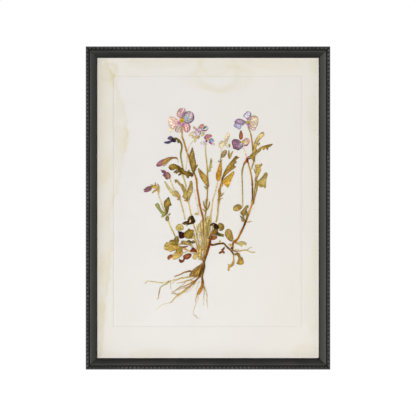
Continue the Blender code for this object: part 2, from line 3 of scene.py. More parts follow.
import bpy
import numpy as np
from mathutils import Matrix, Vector


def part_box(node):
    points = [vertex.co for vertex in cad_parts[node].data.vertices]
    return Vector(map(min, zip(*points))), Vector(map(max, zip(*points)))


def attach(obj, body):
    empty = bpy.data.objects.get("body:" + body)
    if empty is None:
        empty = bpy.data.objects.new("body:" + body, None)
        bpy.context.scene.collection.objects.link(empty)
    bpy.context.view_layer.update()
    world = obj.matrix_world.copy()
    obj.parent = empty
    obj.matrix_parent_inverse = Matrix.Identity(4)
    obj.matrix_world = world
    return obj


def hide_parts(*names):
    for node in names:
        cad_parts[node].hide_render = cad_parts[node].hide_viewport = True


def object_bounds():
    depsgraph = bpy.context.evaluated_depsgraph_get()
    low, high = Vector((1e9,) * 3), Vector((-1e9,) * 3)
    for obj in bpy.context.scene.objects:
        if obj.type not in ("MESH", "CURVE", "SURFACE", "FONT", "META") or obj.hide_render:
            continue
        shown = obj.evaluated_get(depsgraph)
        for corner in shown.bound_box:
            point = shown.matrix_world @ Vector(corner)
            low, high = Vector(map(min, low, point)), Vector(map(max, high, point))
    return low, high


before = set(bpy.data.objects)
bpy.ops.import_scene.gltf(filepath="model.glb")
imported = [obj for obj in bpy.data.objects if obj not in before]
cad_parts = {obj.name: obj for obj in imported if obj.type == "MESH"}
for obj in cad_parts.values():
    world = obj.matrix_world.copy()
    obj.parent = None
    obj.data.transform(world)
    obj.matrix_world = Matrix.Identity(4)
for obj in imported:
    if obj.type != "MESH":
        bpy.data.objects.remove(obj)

cad_low, cad_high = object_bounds()


# Moulding
# Four lengths of slim wooden moulding, mitred and glued.  It is painted charcoal, with a
# row of turned beads by the outer front edge and a small step at the sight edge.

MM = 0.001


def with_poles(values):
    """Lists what is kept for each point of a shell's rings, then each end ring's mean."""
    ends = values[[0, -1]].mean(axis=1)
    return np.concatenate((values.reshape((-1,) + values.shape[2:]), ends))


def close_rings(name, shells, poles=None):
    """A mesh of closed skins, each carried over rings of points (stations, round, 3).

    Neighbouring rings are joined by quads, and each end is closed by a fan of triangles
    to its pole, which is the end ring's mean point unless two poles are given.
    """
    points, corners, sizes = [], [], []
    first = 0
    for rings in shells:
        stations, around = rings.shape[:2]
        step = first + np.arange(around)
        ahead = first + (np.arange(around) + 1) % around
        row = (np.arange(stations - 1) * around)[:, None]
        quads = np.stack((row + step, row + ahead, row + around + ahead, row + around + step), -1)
        last = (stations - 1) * around
        pole = first + stations * around
        start = np.stack((np.full(around, pole), ahead, step), -1)
        end = np.stack((np.full(around, pole + 1), last + step, last + ahead), -1)
        corners += [quads.ravel(), start.ravel(), end.ravel()]
        sizes += [np.full(quads.size // 4, 4), np.full(2 * around, 3)]
        points.append(with_poles(rings))
        first += len(points[-1])
    points, corners, sizes = np.concatenate(points), np.concatenate(corners), np.concatenate(sizes)
    if poles is not None:
        points[-2:] = poles
    mesh = bpy.data.meshes.new(name)
    mesh.vertices.add(len(points))
    mesh.vertices.foreach_set("co", points.astype(np.float32).ravel())
    mesh.loops.add(len(corners))
    mesh.loops.foreach_set("vertex_index", corners.astype(np.int32))
    mesh.polygons.add(len(sizes))
    starts = np.concatenate(((0,), np.cumsum(sizes)[:-1]))
    mesh.polygons.foreach_set("loop_start", starts.astype(np.int32))
    mesh.update(calc_edges=True)
    mesh.shade_smooth()
    piece = bpy.data.objects.new(name, mesh)
    bpy.context.scene.collection.objects.link(piece)
    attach(piece, "root")
    return piece


def mark(piece, name, values):
    """Stores a number, or a colour and its strength, for each point of a piece."""
    if values.ndim == 1:
        store = piece.data.attributes.new(name, "FLOAT", "POINT")
        store.data.foreach_set("value", values.astype(np.float32))
    else:
        store = piece.data.attributes.new(name, "FLOAT_COLOR", "POINT")
        store.data.foreach_set("color", values.astype(np.float32).ravel())


def unwrap(piece, places):
    """Gives a piece a UV map from two numbers a point."""
    layer = piece.data.uv_layers.new(name="UVMap")
    index = np.empty(len(piece.data.loops), dtype=np.int32)
    piece.data.loops.foreach_get("vertex_index", index)
    layer.data.foreach_set("uv", places[index].astype(np.float32).ravel())


def new_finish(name, roughness, metallic=0.0):
    """A new material: itself, its nodes, its shader and the call that wires sockets."""
    finish = bpy.data.materials.new(name)
    finish.use_nodes = True
    nodes = finish.node_tree.nodes
    shader = nodes["Principled BSDF"]
    shader.inputs["Roughness"].default_value = roughness
    shader.inputs["Metallic"].default_value = metallic
    return finish, nodes, shader, finish.node_tree.links.new


def add_noise(nodes, wire, place, scale, stretch=(1.0, 1.0, 1.0), detail=4.0):
    """A cloudy pattern from 0 to 1 over the given coordinates, scaled along each axis."""
    spread = nodes.new("ShaderNodeMapping")
    spread.inputs["Scale"].default_value = stretch
    wire(place, spread.inputs["Vector"])
    noise = nodes.new("ShaderNodeTexNoise")
    noise.inputs["Scale"].default_value = scale
    noise.inputs["Detail"].default_value = detail
    wire(spread.outputs["Vector"], noise.inputs["Vector"])
    return noise.outputs["Fac"]


def add_ramp(nodes, wire, value, *stops):
    """Turns a value into greys or colours, with a stop for each place from 0 to 1."""
    ramp = nodes.new("ShaderNodeValToRGB")
    wire(value, ramp.inputs["Fac"])
    for place, colour in stops[2:]:
        ramp.color_ramp.elements.new(place)
    for element, (place, colour) in zip(ramp.color_ramp.elements, stops):
        element.position = place
        element.color = (*colour, 1.0) if isinstance(colour, tuple) else (colour,) * 3 + (1.0,)
    return ramp.outputs["Color"]


def add_mix(nodes, wire, share, first, second, way="MIX"):
    """Mixes two colours or sockets by a share, which may be a number or a socket."""
    mix = nodes.new("ShaderNodeMix")
    mix.data_type = "RGBA"
    mix.blend_type = way
    for socket, value in ((mix.inputs[0], share), (mix.inputs[6], first), (mix.inputs[7], second)):
        if isinstance(value, bpy.types.NodeSocket):
            wire(value, socket)
        else:
            socket.default_value = (*value, 1.0) if isinstance(value, tuple) else value
    return mix.outputs[2]


def add_mark(nodes, name, output="Fac"):
    """Reads what a piece stores under a name."""
    reader = nodes.new("ShaderNodeAttribute")
    reader.attribute_name = name
    return reader.outputs[output]


def add_bump(nodes, wire, height, shader, distance, strength=1.0):
    """Turns a height pattern into fine relief of the given depth in metres."""
    bump = nodes.new("ShaderNodeBump")
    bump.inputs["Strength"].default_value = strength
    bump.inputs["Distance"].default_value = distance
    wire(height, bump.inputs["Height"])
    wire(bump.outputs["Normal"], shader.inputs["Normal"])


def paint_moulding():
    """Charcoal paint over wood grain, rubbed on its high places, painted shade in its recesses."""
    finish, nodes, shader, wire = new_finish("charcoal_paint", 0.42)
    place = nodes.new("ShaderNodeTexCoord").outputs["UV"]
    grain = add_noise(nodes, wire, place, 900.0, (0.05, 1.0, 1.0), 5.0)
    cloud = add_noise(nodes, wire, place, 70.0, (0.5, 1.0, 1.0), 4.0)
    paint = add_ramp(nodes, wire, grain, (0.3, (0.005, 0.005, 0.005)),
                     (0.7, (0.012, 0.012, 0.0115)))
    tired = add_ramp(nodes, wire, cloud, (0.35, 0.0), (0.75, 0.4))
    paint = add_mix(nodes, wire, tired, paint, (0.014, 0.0125, 0.0105))
    # Painted shade: the shade mark darkens the paint in the clefts, the groove and on the sight
    # step
    paint = add_mix(nodes, wire, add_mark(nodes, "shade"), paint, (0.004, 0.004, 0.003))
    patchy = add_ramp(nodes, wire, cloud, (0.40, 0.15), (0.62, 1.0))
    rubbed = add_mix(nodes, wire, 1.0, add_mark(nodes, "wear"), patchy, "MULTIPLY")
    paint = add_mix(nodes, wire, rubbed, paint, (0.085, 0.078, 0.070))
    wood = add_ramp(nodes, wire, grain, (0.3, (0.42, 0.27, 0.13)), (0.7, (0.60, 0.43, 0.25)))
    wire(add_mix(nodes, wire, add_mark(nodes, "bare"), paint, wood), shader.inputs["Base Color"])
    gloss = add_ramp(nodes, wire, cloud, (0.3, 0.33), (0.7, 0.39))
    gloss = add_mix(nodes, wire, add_mark(nodes, "shade"), gloss, (0.95, 0.95, 0.95))
    wire(gloss, shader.inputs["Roughness"])
    add_bump(nodes, wire, grain, shader, 0.00005, 0.6)
    return finish


# Corners of the section, from its outer back edge round: distance in from the outer
# side, depth from the wall, and the radius that rounds the corner, in millimetres
MOULDING_CORNERS = np.array([
    (0.0, 0.0, 0.35), (7.15, 0.0, 0.35), (7.15, 11.5, 0.2), (11.25, 11.5, 0.2),
    (11.25, 13.2, 0.3), (10.4, 13.4, 0.2), (10.3, 14.25, 0.3), (4.5, 16.3, 0.2),
    (4.1, 15.6, 0.15), (3.4, 15.6, 0.15), (3.2, 16.5, 0.1), (0.75, 16.6, 0.1), (0.0, 15.9, 0.3),
])
BEAD_AFTER = 10
BEAD_MIDDLE = np.array((1.95, 16.5))
BEAD_HALF_WIDTH = 1.2
BEAD_HEIGHT = 1.5
BEAD_PITCH = 4.142
CLEFT_SIZE = 0.2
STATIONS_PER_BEAD = 10
SECTION_HEART = (6.8, 12.6)
MITRE_GAP = 0.05
GRAIN_SHIFT = 60         # gives each rail its own stretch of the wood's grain
# Where the paint is worn or missing, and where shade is painted dark, as distances in and depths
FILLET_TOP = 16.0
GROOVE_START, CREST_START, GROOVE_END = 3.2, 3.9, 4.3
BEAD_CREST = 17.2
SIGHT_STEP = 10.33
BACK_EDGE = 0.4
REBATE_SIDE, REBATE_DEPTH = 7.0, 11.6


def moulding_section():
    """The section as points (distance in, depth), and which of them are on the bead.

    Each corner is a quadratic bend between points one radius before and after it, and
    the bead is half an ellipse that stands on the fillet beside the outer edge.
    """
    place, radius = MOULDING_CORNERS[:, None, :2], MOULDING_CORNERS[:, None, 2:]
    onward = np.roll(place, -1, axis=0) - place
    onward /= np.linalg.norm(onward, axis=-1, keepdims=True)
    t = np.linspace(0.0, 1.0, 4)[None, :, None]
    before = place - np.roll(onward, 1, axis=0) * radius
    after = place + onward * radius
    bends = (1 - t) ** 2 * before + 2 * t * (1 - t) * place + t ** 2 * after
    turn = np.linspace(0.0, math.pi, 15)
    bead = BEAD_MIDDLE + np.stack((BEAD_HALF_WIDTH * np.cos(turn), BEAD_HEIGHT * np.sin(turn)), -1)
    start = bends[:BEAD_AFTER + 1].reshape(-1, 2)
    end = bends[BEAD_AFTER + 1:].reshape(-1, 2)
    section = np.vstack((start, bead, end))
    on_bead = np.zeros(len(section))
    on_bead[len(start):len(start) + len(bead)] = 1.0
    return section, on_bead


def carve_rail(name, length, along, inward, edge, finish):
    """Carries the section along a rail, and moves each point of an end in for the mitre.

    The bead's size falls from 1 at its middle to a small share in the clefts, as the
    magnitude of a sine along the rail, to the power of 0.6.
    """
    section, on_bead = moulding_section()
    beads = round(length / MM / BEAD_PITCH)
    station = np.linspace(-0.5, 0.5, beads * STATIONS_PER_BEAD + 1)[:, None]
    swell = np.abs(np.sin((station + 0.5) * beads * math.pi)) ** 0.6
    size = 1 - on_bead * (1 - CLEFT_SIZE) * (1 - swell)
    distance = BEAD_MIDDLE[0] + (section[:, 0] - BEAD_MIDDLE[0]) * np.where(on_bead > 0, size, 1)
    depth = BEAD_MIDDLE[1] + (section[:, 1] - BEAD_MIDDLE[1]) * np.where(on_bead > 0, size, 1)
    axes = np.array((along, inward, (0.0, -1.0, 0.0)))
    heart = np.array(SECTION_HEART)
    reach = 2 * station * (length / 2 / MM - distance - MITRE_GAP)
    ends = np.array((-1.0, 1.0)) * (length / 2 / MM - heart[0] - MITRE_GAP)
    rings = edge + np.stack((reach, distance, depth), axis=-1) @ axes * MM
    poles = edge + np.column_stack((ends, np.tile(heart, (2, 1)))) @ axes * MM
    rail = close_rings(name + "_moulding", [rings], poles)
    run = np.concatenate(((0.0,), np.cumsum(np.linalg.norm(np.diff(section, axis=0), axis=1))))
    across = np.broadcast_to(run + GRAIN_SHIFT * edge.sum() / MM, reach.shape)
    unwrap(rail, with_poles(np.stack((reach, across), axis=-1)) * MM)
    plain_distance, plain_depth = section.T
    high = np.clip((swell - 0.7) / 0.3, 0, 1) * on_bead
    high = high * np.clip((depth - BEAD_CREST) / 0.6, 0, 1)
    crest = (on_bead == 0) & (plain_depth > FILLET_TOP) & (plain_distance > CREST_START)
    mark(rail, "wear", with_poles(np.maximum(high, np.where(crest, 0.12, 0.0))))
    # The shade mark is painted shade: full in the groove and past the sight step, and in the
    # clefts between the beads
    groove = (plain_distance > GROOVE_START) & (plain_distance < GROOVE_END)
    low = (plain_distance > SIGHT_STEP) | (groove & (plain_depth < FILLET_TOP))
    shade = np.maximum(np.where(low, 1.0, 0.0), on_bead * (1 - np.clip(swell / 0.7, 0, 1)))
    mark(rail, "shade", with_poles(shade))
    rebate = (plain_distance > REBATE_SIDE) & (plain_depth < REBATE_DEPTH)
    bare = np.where((plain_depth < BACK_EDGE) | rebate, 1.0, 0.0)
    mark(rail, "bare", with_poles(bare * np.ones_like(reach)))
    rail.data.materials.append(finish)
    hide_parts(name)


frame_low = Vector((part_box("rail_left")[0].x, 0.0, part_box("rail_bottom")[0].z))
frame_high = Vector((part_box("rail_right")[1].x, 0.0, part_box("rail_top")[1].z))
frame_size = frame_high - frame_low
frame_middle = (frame_low + frame_high) / 2
moulding_paint = paint_moulding()
for name, length, along, inward, edge in (
        ("rail_bottom", frame_size.x, (1, 0, 0), (0, 0, 1), (frame_middle.x, 0, frame_low.z)),
        ("rail_right", frame_size.z, (0, 0, 1), (-1, 0, 0), (frame_high.x, 0, frame_middle.z)),
        ("rail_top", frame_size.x, (-1, 0, 0), (0, 0, -1), (frame_middle.x, 0, frame_high.z)),
        ("rail_left", frame_size.z, (0, 0, -1), (1, 0, 0), (frame_low.x, 0, frame_middle.z))):
    carve_rail(name, length, along, inward, np.array(edge), moulding_paint)


# Backing board
# A sheet of brown hardboard, cut to fit the rebate, smooth and dull, with the fibres
# that show on its pressed face.

def press_board():
    """Brown fibreboard: short pale and dark fibres over a mottled ground."""
    finish, nodes, shader, wire = new_finish("hardboard", 0.78)
    place = nodes.new("ShaderNodeTexCoord").outputs["Object"]
    fibre = add_noise(nodes, wire, place, 700.0, (1.0, 1.0, 0.35), 3.0)
    crossed = add_noise(nodes, wire, place, 700.0, (0.35, 1.0, 1.0), 3.0)
    mottle = add_noise(nodes, wire, place, 40.0, detail=5.0)
    ground = add_ramp(nodes, wire, mottle, (0.3, (0.20, 0.115, 0.058)), (0.7, (0.29, 0.175, 0.09)))
    flecks = add_mix(nodes, wire, 0.5, fibre, crossed)
    shade = add_ramp(nodes, wire, flecks, (0.38, (0.10, 0.05, 0.025)), (0.5, 0.5),
                     (0.62, (0.75, 0.62, 0.45)))
    wire(add_mix(nodes, wire, 0.55, ground, shade, "OVERLAY"), shader.inputs["Base Color"])
    add_bump(nodes, wire, flecks, shader, 0.0001, 0.5)
    return finish


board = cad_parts["backing_board"]
board.data.materials.clear()
board.data.materials.append(press_board())


# Driver points and hanger
# Zinc plated sheet steel.  The points are driven flat into the rails over the board, and
# the hanger's two feet are held to the board by rivets.

def plate_steel():
    """Zinc plate: brushed lines one way, cloudy grey, a little dull."""
    finish, nodes, shader, wire = new_finish("zinc_plate", 0.38, metallic=1.0)
    place = nodes.new("ShaderNodeTexCoord").outputs["Object"]
    lines = add_noise(nodes, wire, place, 2200.0, (0.05, 1.0, 1.0), 2.0)
    cloud = add_noise(nodes, wire, place, 260.0, detail=4.0)
    grey = add_ramp(nodes, wire, cloud, (0.3, (0.42, 0.42, 0.40)), (0.7, (0.62, 0.62, 0.60)))
    wire(add_mix(nodes, wire, lines, grey, (0.50, 0.50, 0.49)), shader.inputs["Base Color"])
    wire(add_ramp(nodes, wire, cloud, (0.3, 0.30), (0.7, 0.5)), shader.inputs["Roughness"])
    add_bump(nodes, wire, lines, shader, 0.00003, 0.5)
    return finish


zinc = plate_steel()
for steel in ("hanger", "driver_point_left_upper", "driver_point_left_lower",
              "driver_point_right_upper", "driver_point_right_lower"):
    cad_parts[steel].data.materials.clear()
    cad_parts[steel].data.materials.append(zinc)

hanger_low, hanger_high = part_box("hanger")
RIVET_RADIUS = 2.1 * MM
RIVET_HEIGHT = 0.75 * MM
RIVET_SUNK = 0.15 * MM    # how far the head goes into the foot
RIVET_INSET = 4.2 * MM
FOOT_FACE = 0.9 * MM      # how far behind the board the foot's outer face is
foot_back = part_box("backing_board")[1].y + FOOT_FACE


def turn_rivet(name, across):
    """A rivet's head: rings whose rise grows, as a flat dome, towards the middle."""
    share = np.linspace(0.05, 1.0, 9)[:, None]
    turn = np.linspace(0.0, 2 * math.pi, 29)[None, :-1]
    rise = RIVET_HEIGHT * (1 - share ** 3) ** 0.5
    up = (hanger_low.z + hanger_high.z) / 2
    rings = np.stack((across + RIVET_RADIUS * share * np.cos(turn), foot_back + rise + 0 * turn,
                      up + RIVET_RADIUS * share * np.sin(turn)), axis=-1)
    under = rings[-1:] - (0.0, RIVET_SUNK, 0.0)
    rivet = close_rings(name, [np.concatenate((rings, under))])
    rivet.data.materials.append(zinc)


turn_rivet("rivet_left", hanger_low.x + RIVET_INSET)
turn_rivet("rivet_right", hanger_high.x - RIVET_INSET)


# Sheet
# Aged laid paper that carries the plant.  It is a little cockled, browned by damp from
# its edges, and pressed in along the line of a plate.

PHOTO_MIDDLE = (208.0, 208.0)
MOULDINGS_WIDTH = 22.5   # two rails, each from its outer side to the sight edge
SIGHT_WIDTH = frame_size.x / MM - MOULDINGS_WIDTH
SIGHT_HEIGHT = frame_size.z / MM - MOULDINGS_WIDTH
PLATE_LEFT, PLATE_RIGHT, PLATE_TOP, PLATE_BOTTOM = 113.0, 301.6, 76.0, 326.9
PLATE_DENT = 0.09
COCKLE = 0.03
SHEET_PITCH = 1.2        # between neighbouring points of the sheet

# Damp stains: middle, half sizes, strength, and how much of it lies in the dark rim
STAINS = np.array([
    (108, 71, 9, 9, 0.34, 0.7), (114, 76, 5, 10, 0.4, 0.5), (121, 138, 7, 13, 0.4, 0.6),
    (101, 112, 5, 9, 0.3, 0.8), (103, 165, 8, 15, 0.26, 0.5), (102, 272, 7, 17, 0.34, 0.3),
    (100, 316, 6, 14, 0.3, 0.5), (218, 70, 24, 20, 0.3, 0.95), (214, 64, 15, 12, 0.24, 0.9),
    (221, 78, 31, 13, 0.16, 0.95), (160, 60, 34, 7, 0.28, 0.4), (275, 62, 26, 8, 0.26, 0.5),
    (136, 66, 10, 12, 0.2, 0.7), (244, 62, 8, 9, 0.2, 0.5), (315, 115, 6, 17, 0.34, 0.5),
    (316, 66, 6, 8, 0.3, 0.4), (316, 262, 5, 20, 0.3, 0.4), (312, 308, 7, 22, 0.24, 0.6),
    (306, 352, 12, 8, 0.34, 0.4), (151, 356, 21, 7, 0.34, 0.4), (238, 357, 14, 5, 0.26, 0.4),
    (192, 357, 10, 4, 0.18, 0.4), (290, 300, 22, 34, 0.08, 0.3), (128, 300, 18, 36, 0.05, 0.3),
    (110, 357, 10, 5, 0.24, 0.5),
])

# How far right the damp of the left edge came, for each height in pixels
TIDE_HEIGHT = (56, 74, 84, 96, 110, 130, 150, 166, 180, 194, 204, 222, 240, 262, 282, 300, 330,
               360)
TIDE_REACH = (104, 113, 116, 120, 125, 128, 126, 122, 119, 117, 112, 110, 112, 111, 109, 105, 104,
              101)


def spread_damp(across, down):
    """How brown the paper is at each pixel place, from 0 to 1 or a little more.

    Each stain is an oval with a wavering outline: full inside, where a part of it is
    held back, and darkest in a narrow rim where the damp dried.  The tide from the left
    edge is a band that is darkest at its own wavering line.
    """
    total = np.zeros(across.shape)
    for number, (middle, height, wide, tall, strength, in_rim) in enumerate(STAINS):
        right, below = (across - middle) / wide, (down - height) / tall
        turn = np.arctan2(below, right)
        waver = sum(0.2 / wave * np.sin(wave * turn + number * wave) for wave in (2, 3, 5, 8, 13))
        reach = np.hypot(right, below) + waver
        inside = np.clip((1.1 - reach) / 0.5, 0, 1)
        rim = np.exp(-((reach - 0.93) / 0.16) ** 2)
        total += strength * (inside * (1 - in_rim) + rim * in_rim)
    tide = np.interp(down, TIDE_HEIGHT, TIDE_REACH) + np.sin(down / 2.3) + 0.6 * np.sin(down / 0.9)
    past = tide - across
    total += 0.3 * np.clip(past / 2.5 + 0.5, 0, 1) * (0.7 + 0.3 * np.sin(down / 7 + across / 5))
    total += 0.3 * np.exp(-((past - 1.2) / 1.7) ** 2) * (0.85 + 0.15 * np.sin(down / 11 + 2))
    return total


def space_lines(low, high, pitch, *marks):
    """Evenly spaced places, with a cluster of close ones about each mark."""
    close = [mark + np.linspace(-0.9, 0.9, 7) for mark in marks]
    return np.unique(np.concatenate([np.arange(low, high, pitch), (high,)] + close).round(2))


def age_paper():
    """Laid paper: warm white, fibres and faint chain lines, foxed, browned by the damp."""
    finish, nodes, shader, wire = new_finish("aged_paper", 0.92)
    shader.inputs["Specular IOR Level"].default_value = 0.2
    place = nodes.new("ShaderNodeTexCoord").outputs["Object"]
    fibre = add_noise(nodes, wire, place, 1100.0, (1.0, 1.0, 0.3), 5.0)
    laid = add_noise(nodes, wire, place, 900.0, (0.02, 1.0, 1.0), 1.0)
    cloud = add_noise(nodes, wire, place, 28.0, detail=6.0)
    paper = add_ramp(nodes, wire, cloud, (0.3, (0.806, 0.782, 0.748)),
                     (0.7, (0.826, 0.802, 0.768)))
    fine = add_ramp(nodes, wire, fibre, (0.3, 0.97), (0.7, 1.0))
    paper = add_mix(nodes, wire, 1.0, paper, fine, "MULTIPLY")
    rows = add_ramp(nodes, wire, laid, (0.35, 0.985), (0.65, 1.0))
    paper = add_mix(nodes, wire, 1.0, paper, rows, "MULTIPLY")
    damp = add_mix(nodes, wire, 1.0, add_mark(nodes, "damp"),
                   add_ramp(nodes, wire, cloud, (0.3, 0.55), (0.7, 1.0)), "MULTIPLY")
    paper = add_mix(nodes, wire, add_mark(nodes, "yellowed"), paper, (0.80, 0.765, 0.62))
    paper = add_mix(nodes, wire, damp, paper, (0.69, 0.615, 0.37))
    spots = add_noise(nodes, wire, place, 330.0, detail=2.0)
    foxed = add_ramp(nodes, wire, spots, (0.70, 0.0), (0.80, 0.28))
    paper = add_mix(nodes, wire, foxed, paper, (0.62, 0.47, 0.28))
    # Painted light: the paper is paler in a band inside the sight edge, against the lip's shadow
    pale = add_mark(nodes, "painted_light_by_lip")
    paper = add_mix(nodes, wire, pale, paper, (0.90, 0.885, 0.85))
    # Painted shade: a darker line along the foot of the plate line's dent
    wire(add_mix(nodes, wire, add_mark(nodes, "plate_line_shade"), paper, (0.55, 0.50, 0.46)),
         shader.inputs["Base Color"])
    add_bump(nodes, wire, fibre, shader, 0.00005, 0.35)
    return finish


def lay_sheet():
    """The sheet as a flat skin: a ring of front and back points for each height.

    Its front is waved back by slow sines, and stands back by the dent inside the plate
    line, which falls in over half a millimetre, with painted shade along its foot.
    """
    low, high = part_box("sheet")
    left, right = np.array((low.x, high.x)) / MM + PHOTO_MIDDLE[0]
    top, bottom = (frame_middle.z - np.array((high.z, low.z))) / MM + PHOTO_MIDDLE[1]
    columns = space_lines(left, right, SHEET_PITCH, PLATE_LEFT, PLATE_RIGHT)
    rows = space_lines(top, bottom, SHEET_PITCH, PLATE_TOP, PLATE_BOTTOM)[::-1, None]
    waved = np.sin(columns / 31 + rows / 57) + np.sin(columns / 17 - rows / 43 + 2)
    inside = [np.clip(gap / 0.45 + 0.5, 0, 1) for gap in
              (columns - PLATE_LEFT, PLATE_RIGHT - columns, rows - PLATE_TOP, PLATE_BOTTOM - rows)]
    within = inside[0] * inside[1] * inside[2] * inside[3]
    sunk = COCKLE * (2 - waved) / 4 + PLATE_DENT * within
    front = low.y + sunk * MM
    edges = np.linspace(right, left, 12)[1:-1]
    across = np.concatenate((columns, edges)) + 0 * rows
    depth = np.concatenate((front, np.full((len(rows), len(edges)), high.y)), axis=1)
    depth[:, [0, len(columns) - 1]] = (low.y + high.y) / 2
    up = frame_middle.z + (PHOTO_MIDDLE[1] - rows) * MM + 0 * across
    rings = np.stack(((across - PHOTO_MIDDLE[0]) * MM, depth, up), axis=-1)
    sheet = close_rings("mounted_sheet", [rings])
    down = rows + 0 * across
    beyond = np.stack((PLATE_LEFT - across, across - PLATE_RIGHT, PLATE_TOP - down,
                       down - PLATE_BOTTOM))
    margin = (np.clip(beyond / 2 + 0.5, 0, 1).T * (0.2, 0.1, 0.2, 0.05)).max(axis=-1).T
    # The paper is also made yellower towards the right, and browner right of the middle
    mark(sheet, "yellowed", with_poles(margin + 0.1 * np.clip((across - 150) / 160, 0, 1)))
    browned = spread_damp(across, down) + 0.05 * np.clip((across - 205) / 50, 0, 1)
    mark(sheet, "damp", with_poles(browned))
    # A band inside the sight edge is painted paler, as light that makes up for the lip's shadow
    from_sight = np.minimum(SIGHT_WIDTH / 2 - np.abs(across - PHOTO_MIDDLE[0]),
                            SIGHT_HEIGHT / 2 - np.abs(down - PHOTO_MIDDLE[1]))
    mark(sheet, "painted_light_by_lip", with_poles(np.clip(1.4 - from_sight / 1.2, 0, 1) * 0.9))
    # Painted shade along the foot of the plate line's dent, strongest at the left
    plate_line_shade = np.zeros(across.shape)
    for line, place, strength in ((PLATE_LEFT, across, 0.42), (PLATE_RIGHT, across, 0.3),
                                  (PLATE_TOP, down, 0.3), (PLATE_BOTTOM, down, 0.3)):
        plate_line_shade = np.maximum(plate_line_shade, strength * np.exp(-((place - line) / 0.42) ** 2))
    outside = (across < PLATE_LEFT - 0.8) | (across > PLATE_RIGHT + 0.8)
    outside |= (down < PLATE_TOP - 0.8) | (down > PLATE_BOTTOM + 0.8)
    mark(sheet, "plate_line_shade", with_poles(np.where(outside, 0.0, plate_line_shade)))
    sheet.data.materials.append(age_paper())
    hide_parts("sheet")


lay_sheet()


# Stems
# The flowering stems, pressed flat and dried to straw gold and brown, with swollen
# joints.  Each lies on the sheet or on the stems laid before it.

sheet_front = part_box("sheet")[0].y
PILE_TOP = 2.28          # the plant rises less than this off the sheet, in millimetres
FREE_HEIGHT = 1.4        # what would rise further is eased in under the glass
CLEARANCE = 0.03         # between each strand or blade and what it lies on
CELL = 0.5
PILE_ORIGIN = np.array((136.0, 96.0))
pile = np.zeros((460, 300))
dice = np.random.default_rng(11)


def under_places(places):
    """The height of the pile under pixel places, in millimetres above the sheet.

    The pile is first widened by a millimetre and blurred over the next two, as limp
    tissue spans it, and is then read between its cells in proportion.
    """
    limp = pile
    for axis in (0, 1, 0, 1):
        limp = np.maximum(limp, np.maximum(np.roll(limp, 1, axis), np.roll(limp, -1, axis)))
    for axis in (0, 1, 0, 1):
        limp = (np.roll(limp, 2, axis) + np.roll(limp, 1, axis) + limp
                + np.roll(limp, -1, axis) + np.roll(limp, -2, axis)) / 5
    column, row = np.moveaxis((places - PILE_ORIGIN) / CELL, -1, 0)
    left = np.clip(column.astype(int), 0, limp.shape[1] - 2)
    above = np.clip(row.astype(int), 0, limp.shape[0] - 2)
    right, below = np.clip(column - left, 0, 1), np.clip(row - above, 0, 1)
    top = limp[above, left] * (1 - right) + limp[above, left + 1] * right
    bottom = limp[above + 1, left] * (1 - right) + limp[above + 1, left + 1] * right
    return top * (1 - below) + bottom * below


def add_to_pile(places, height):
    """Raises the pile's cells to the top of what was laid at pixel places."""
    column, row = np.moveaxis(((places - PILE_ORIGIN) / CELL).astype(int), -1, 0)
    row = np.clip(row, 0, pile.shape[0] - 1)
    np.maximum.at(pile, (row, np.clip(column, 0, pile.shape[1] - 1)), height)


def place_points(places, height):
    """Points in metres from pixel places and heights, eased in under the glass."""
    room = PILE_TOP - FREE_HEIGHT
    eased = np.where(height < FREE_HEIGHT, height,
                     FREE_HEIGHT + room * (1 - np.exp((FREE_HEIGHT - height) / room)))
    return np.stack(((places[..., 0] - PHOTO_MIDDLE[0]) * MM, sheet_front - eased * MM,
                     frame_middle.z + (PHOTO_MIDDLE[1] - places[..., 1]) * MM), axis=-1)


def follow(route, share):
    """Places and unit steps at shares of a smooth line through the route's points.

    Each span is a cubic set by its four nearest points, as a bent wire would take.
    """
    route = np.array(route, dtype=float)
    padded = np.vstack((2 * route[0] - route[1], route, 2 * route[-1] - route[-2]))
    before, start, end, after = padded[:-3], padded[1:-2], padded[2:-1], padded[3:]
    t = (np.arange(16) / 16)[:, None, None]
    curve = start + 0.5 * t * ((end - before) + t * (2 * before - 5 * start + 4 * end - after
                               + t * (3 * (start - end) + after - before)))
    line = np.vstack((curve.transpose(1, 0, 2).reshape(-1, 2), route[-1]))
    run = np.concatenate(((0.0,), np.cumsum(np.hypot(*np.diff(line, axis=0).T))))
    places = np.column_stack([np.interp(share * run[-1], run, side) for side in line.T])
    step = np.gradient(places, share, axis=0)
    return places, step / np.linalg.norm(step, axis=1, keepdims=True), run[-1]


def pigments(colours):
    """Linear colours from screen colours of 0 to 255."""
    value = np.array(colours, dtype=float) / 255
    return np.where(value < 0.04, value / 12.9, ((value + 0.055) / 1.055) ** 2.4)


def blend_along(colours, share):
    """A colour for each share from 0 to 1 of an evenly spaced row of colours."""
    stops = np.linspace(0, 1, len(colours))
    return np.stack([np.interp(share, stops, part) for part in pigments(colours).T], axis=-1)


STEM_PITCH = 0.45        # between a stem's sections
STEM_FLATNESS = 0.5      # its height over its width


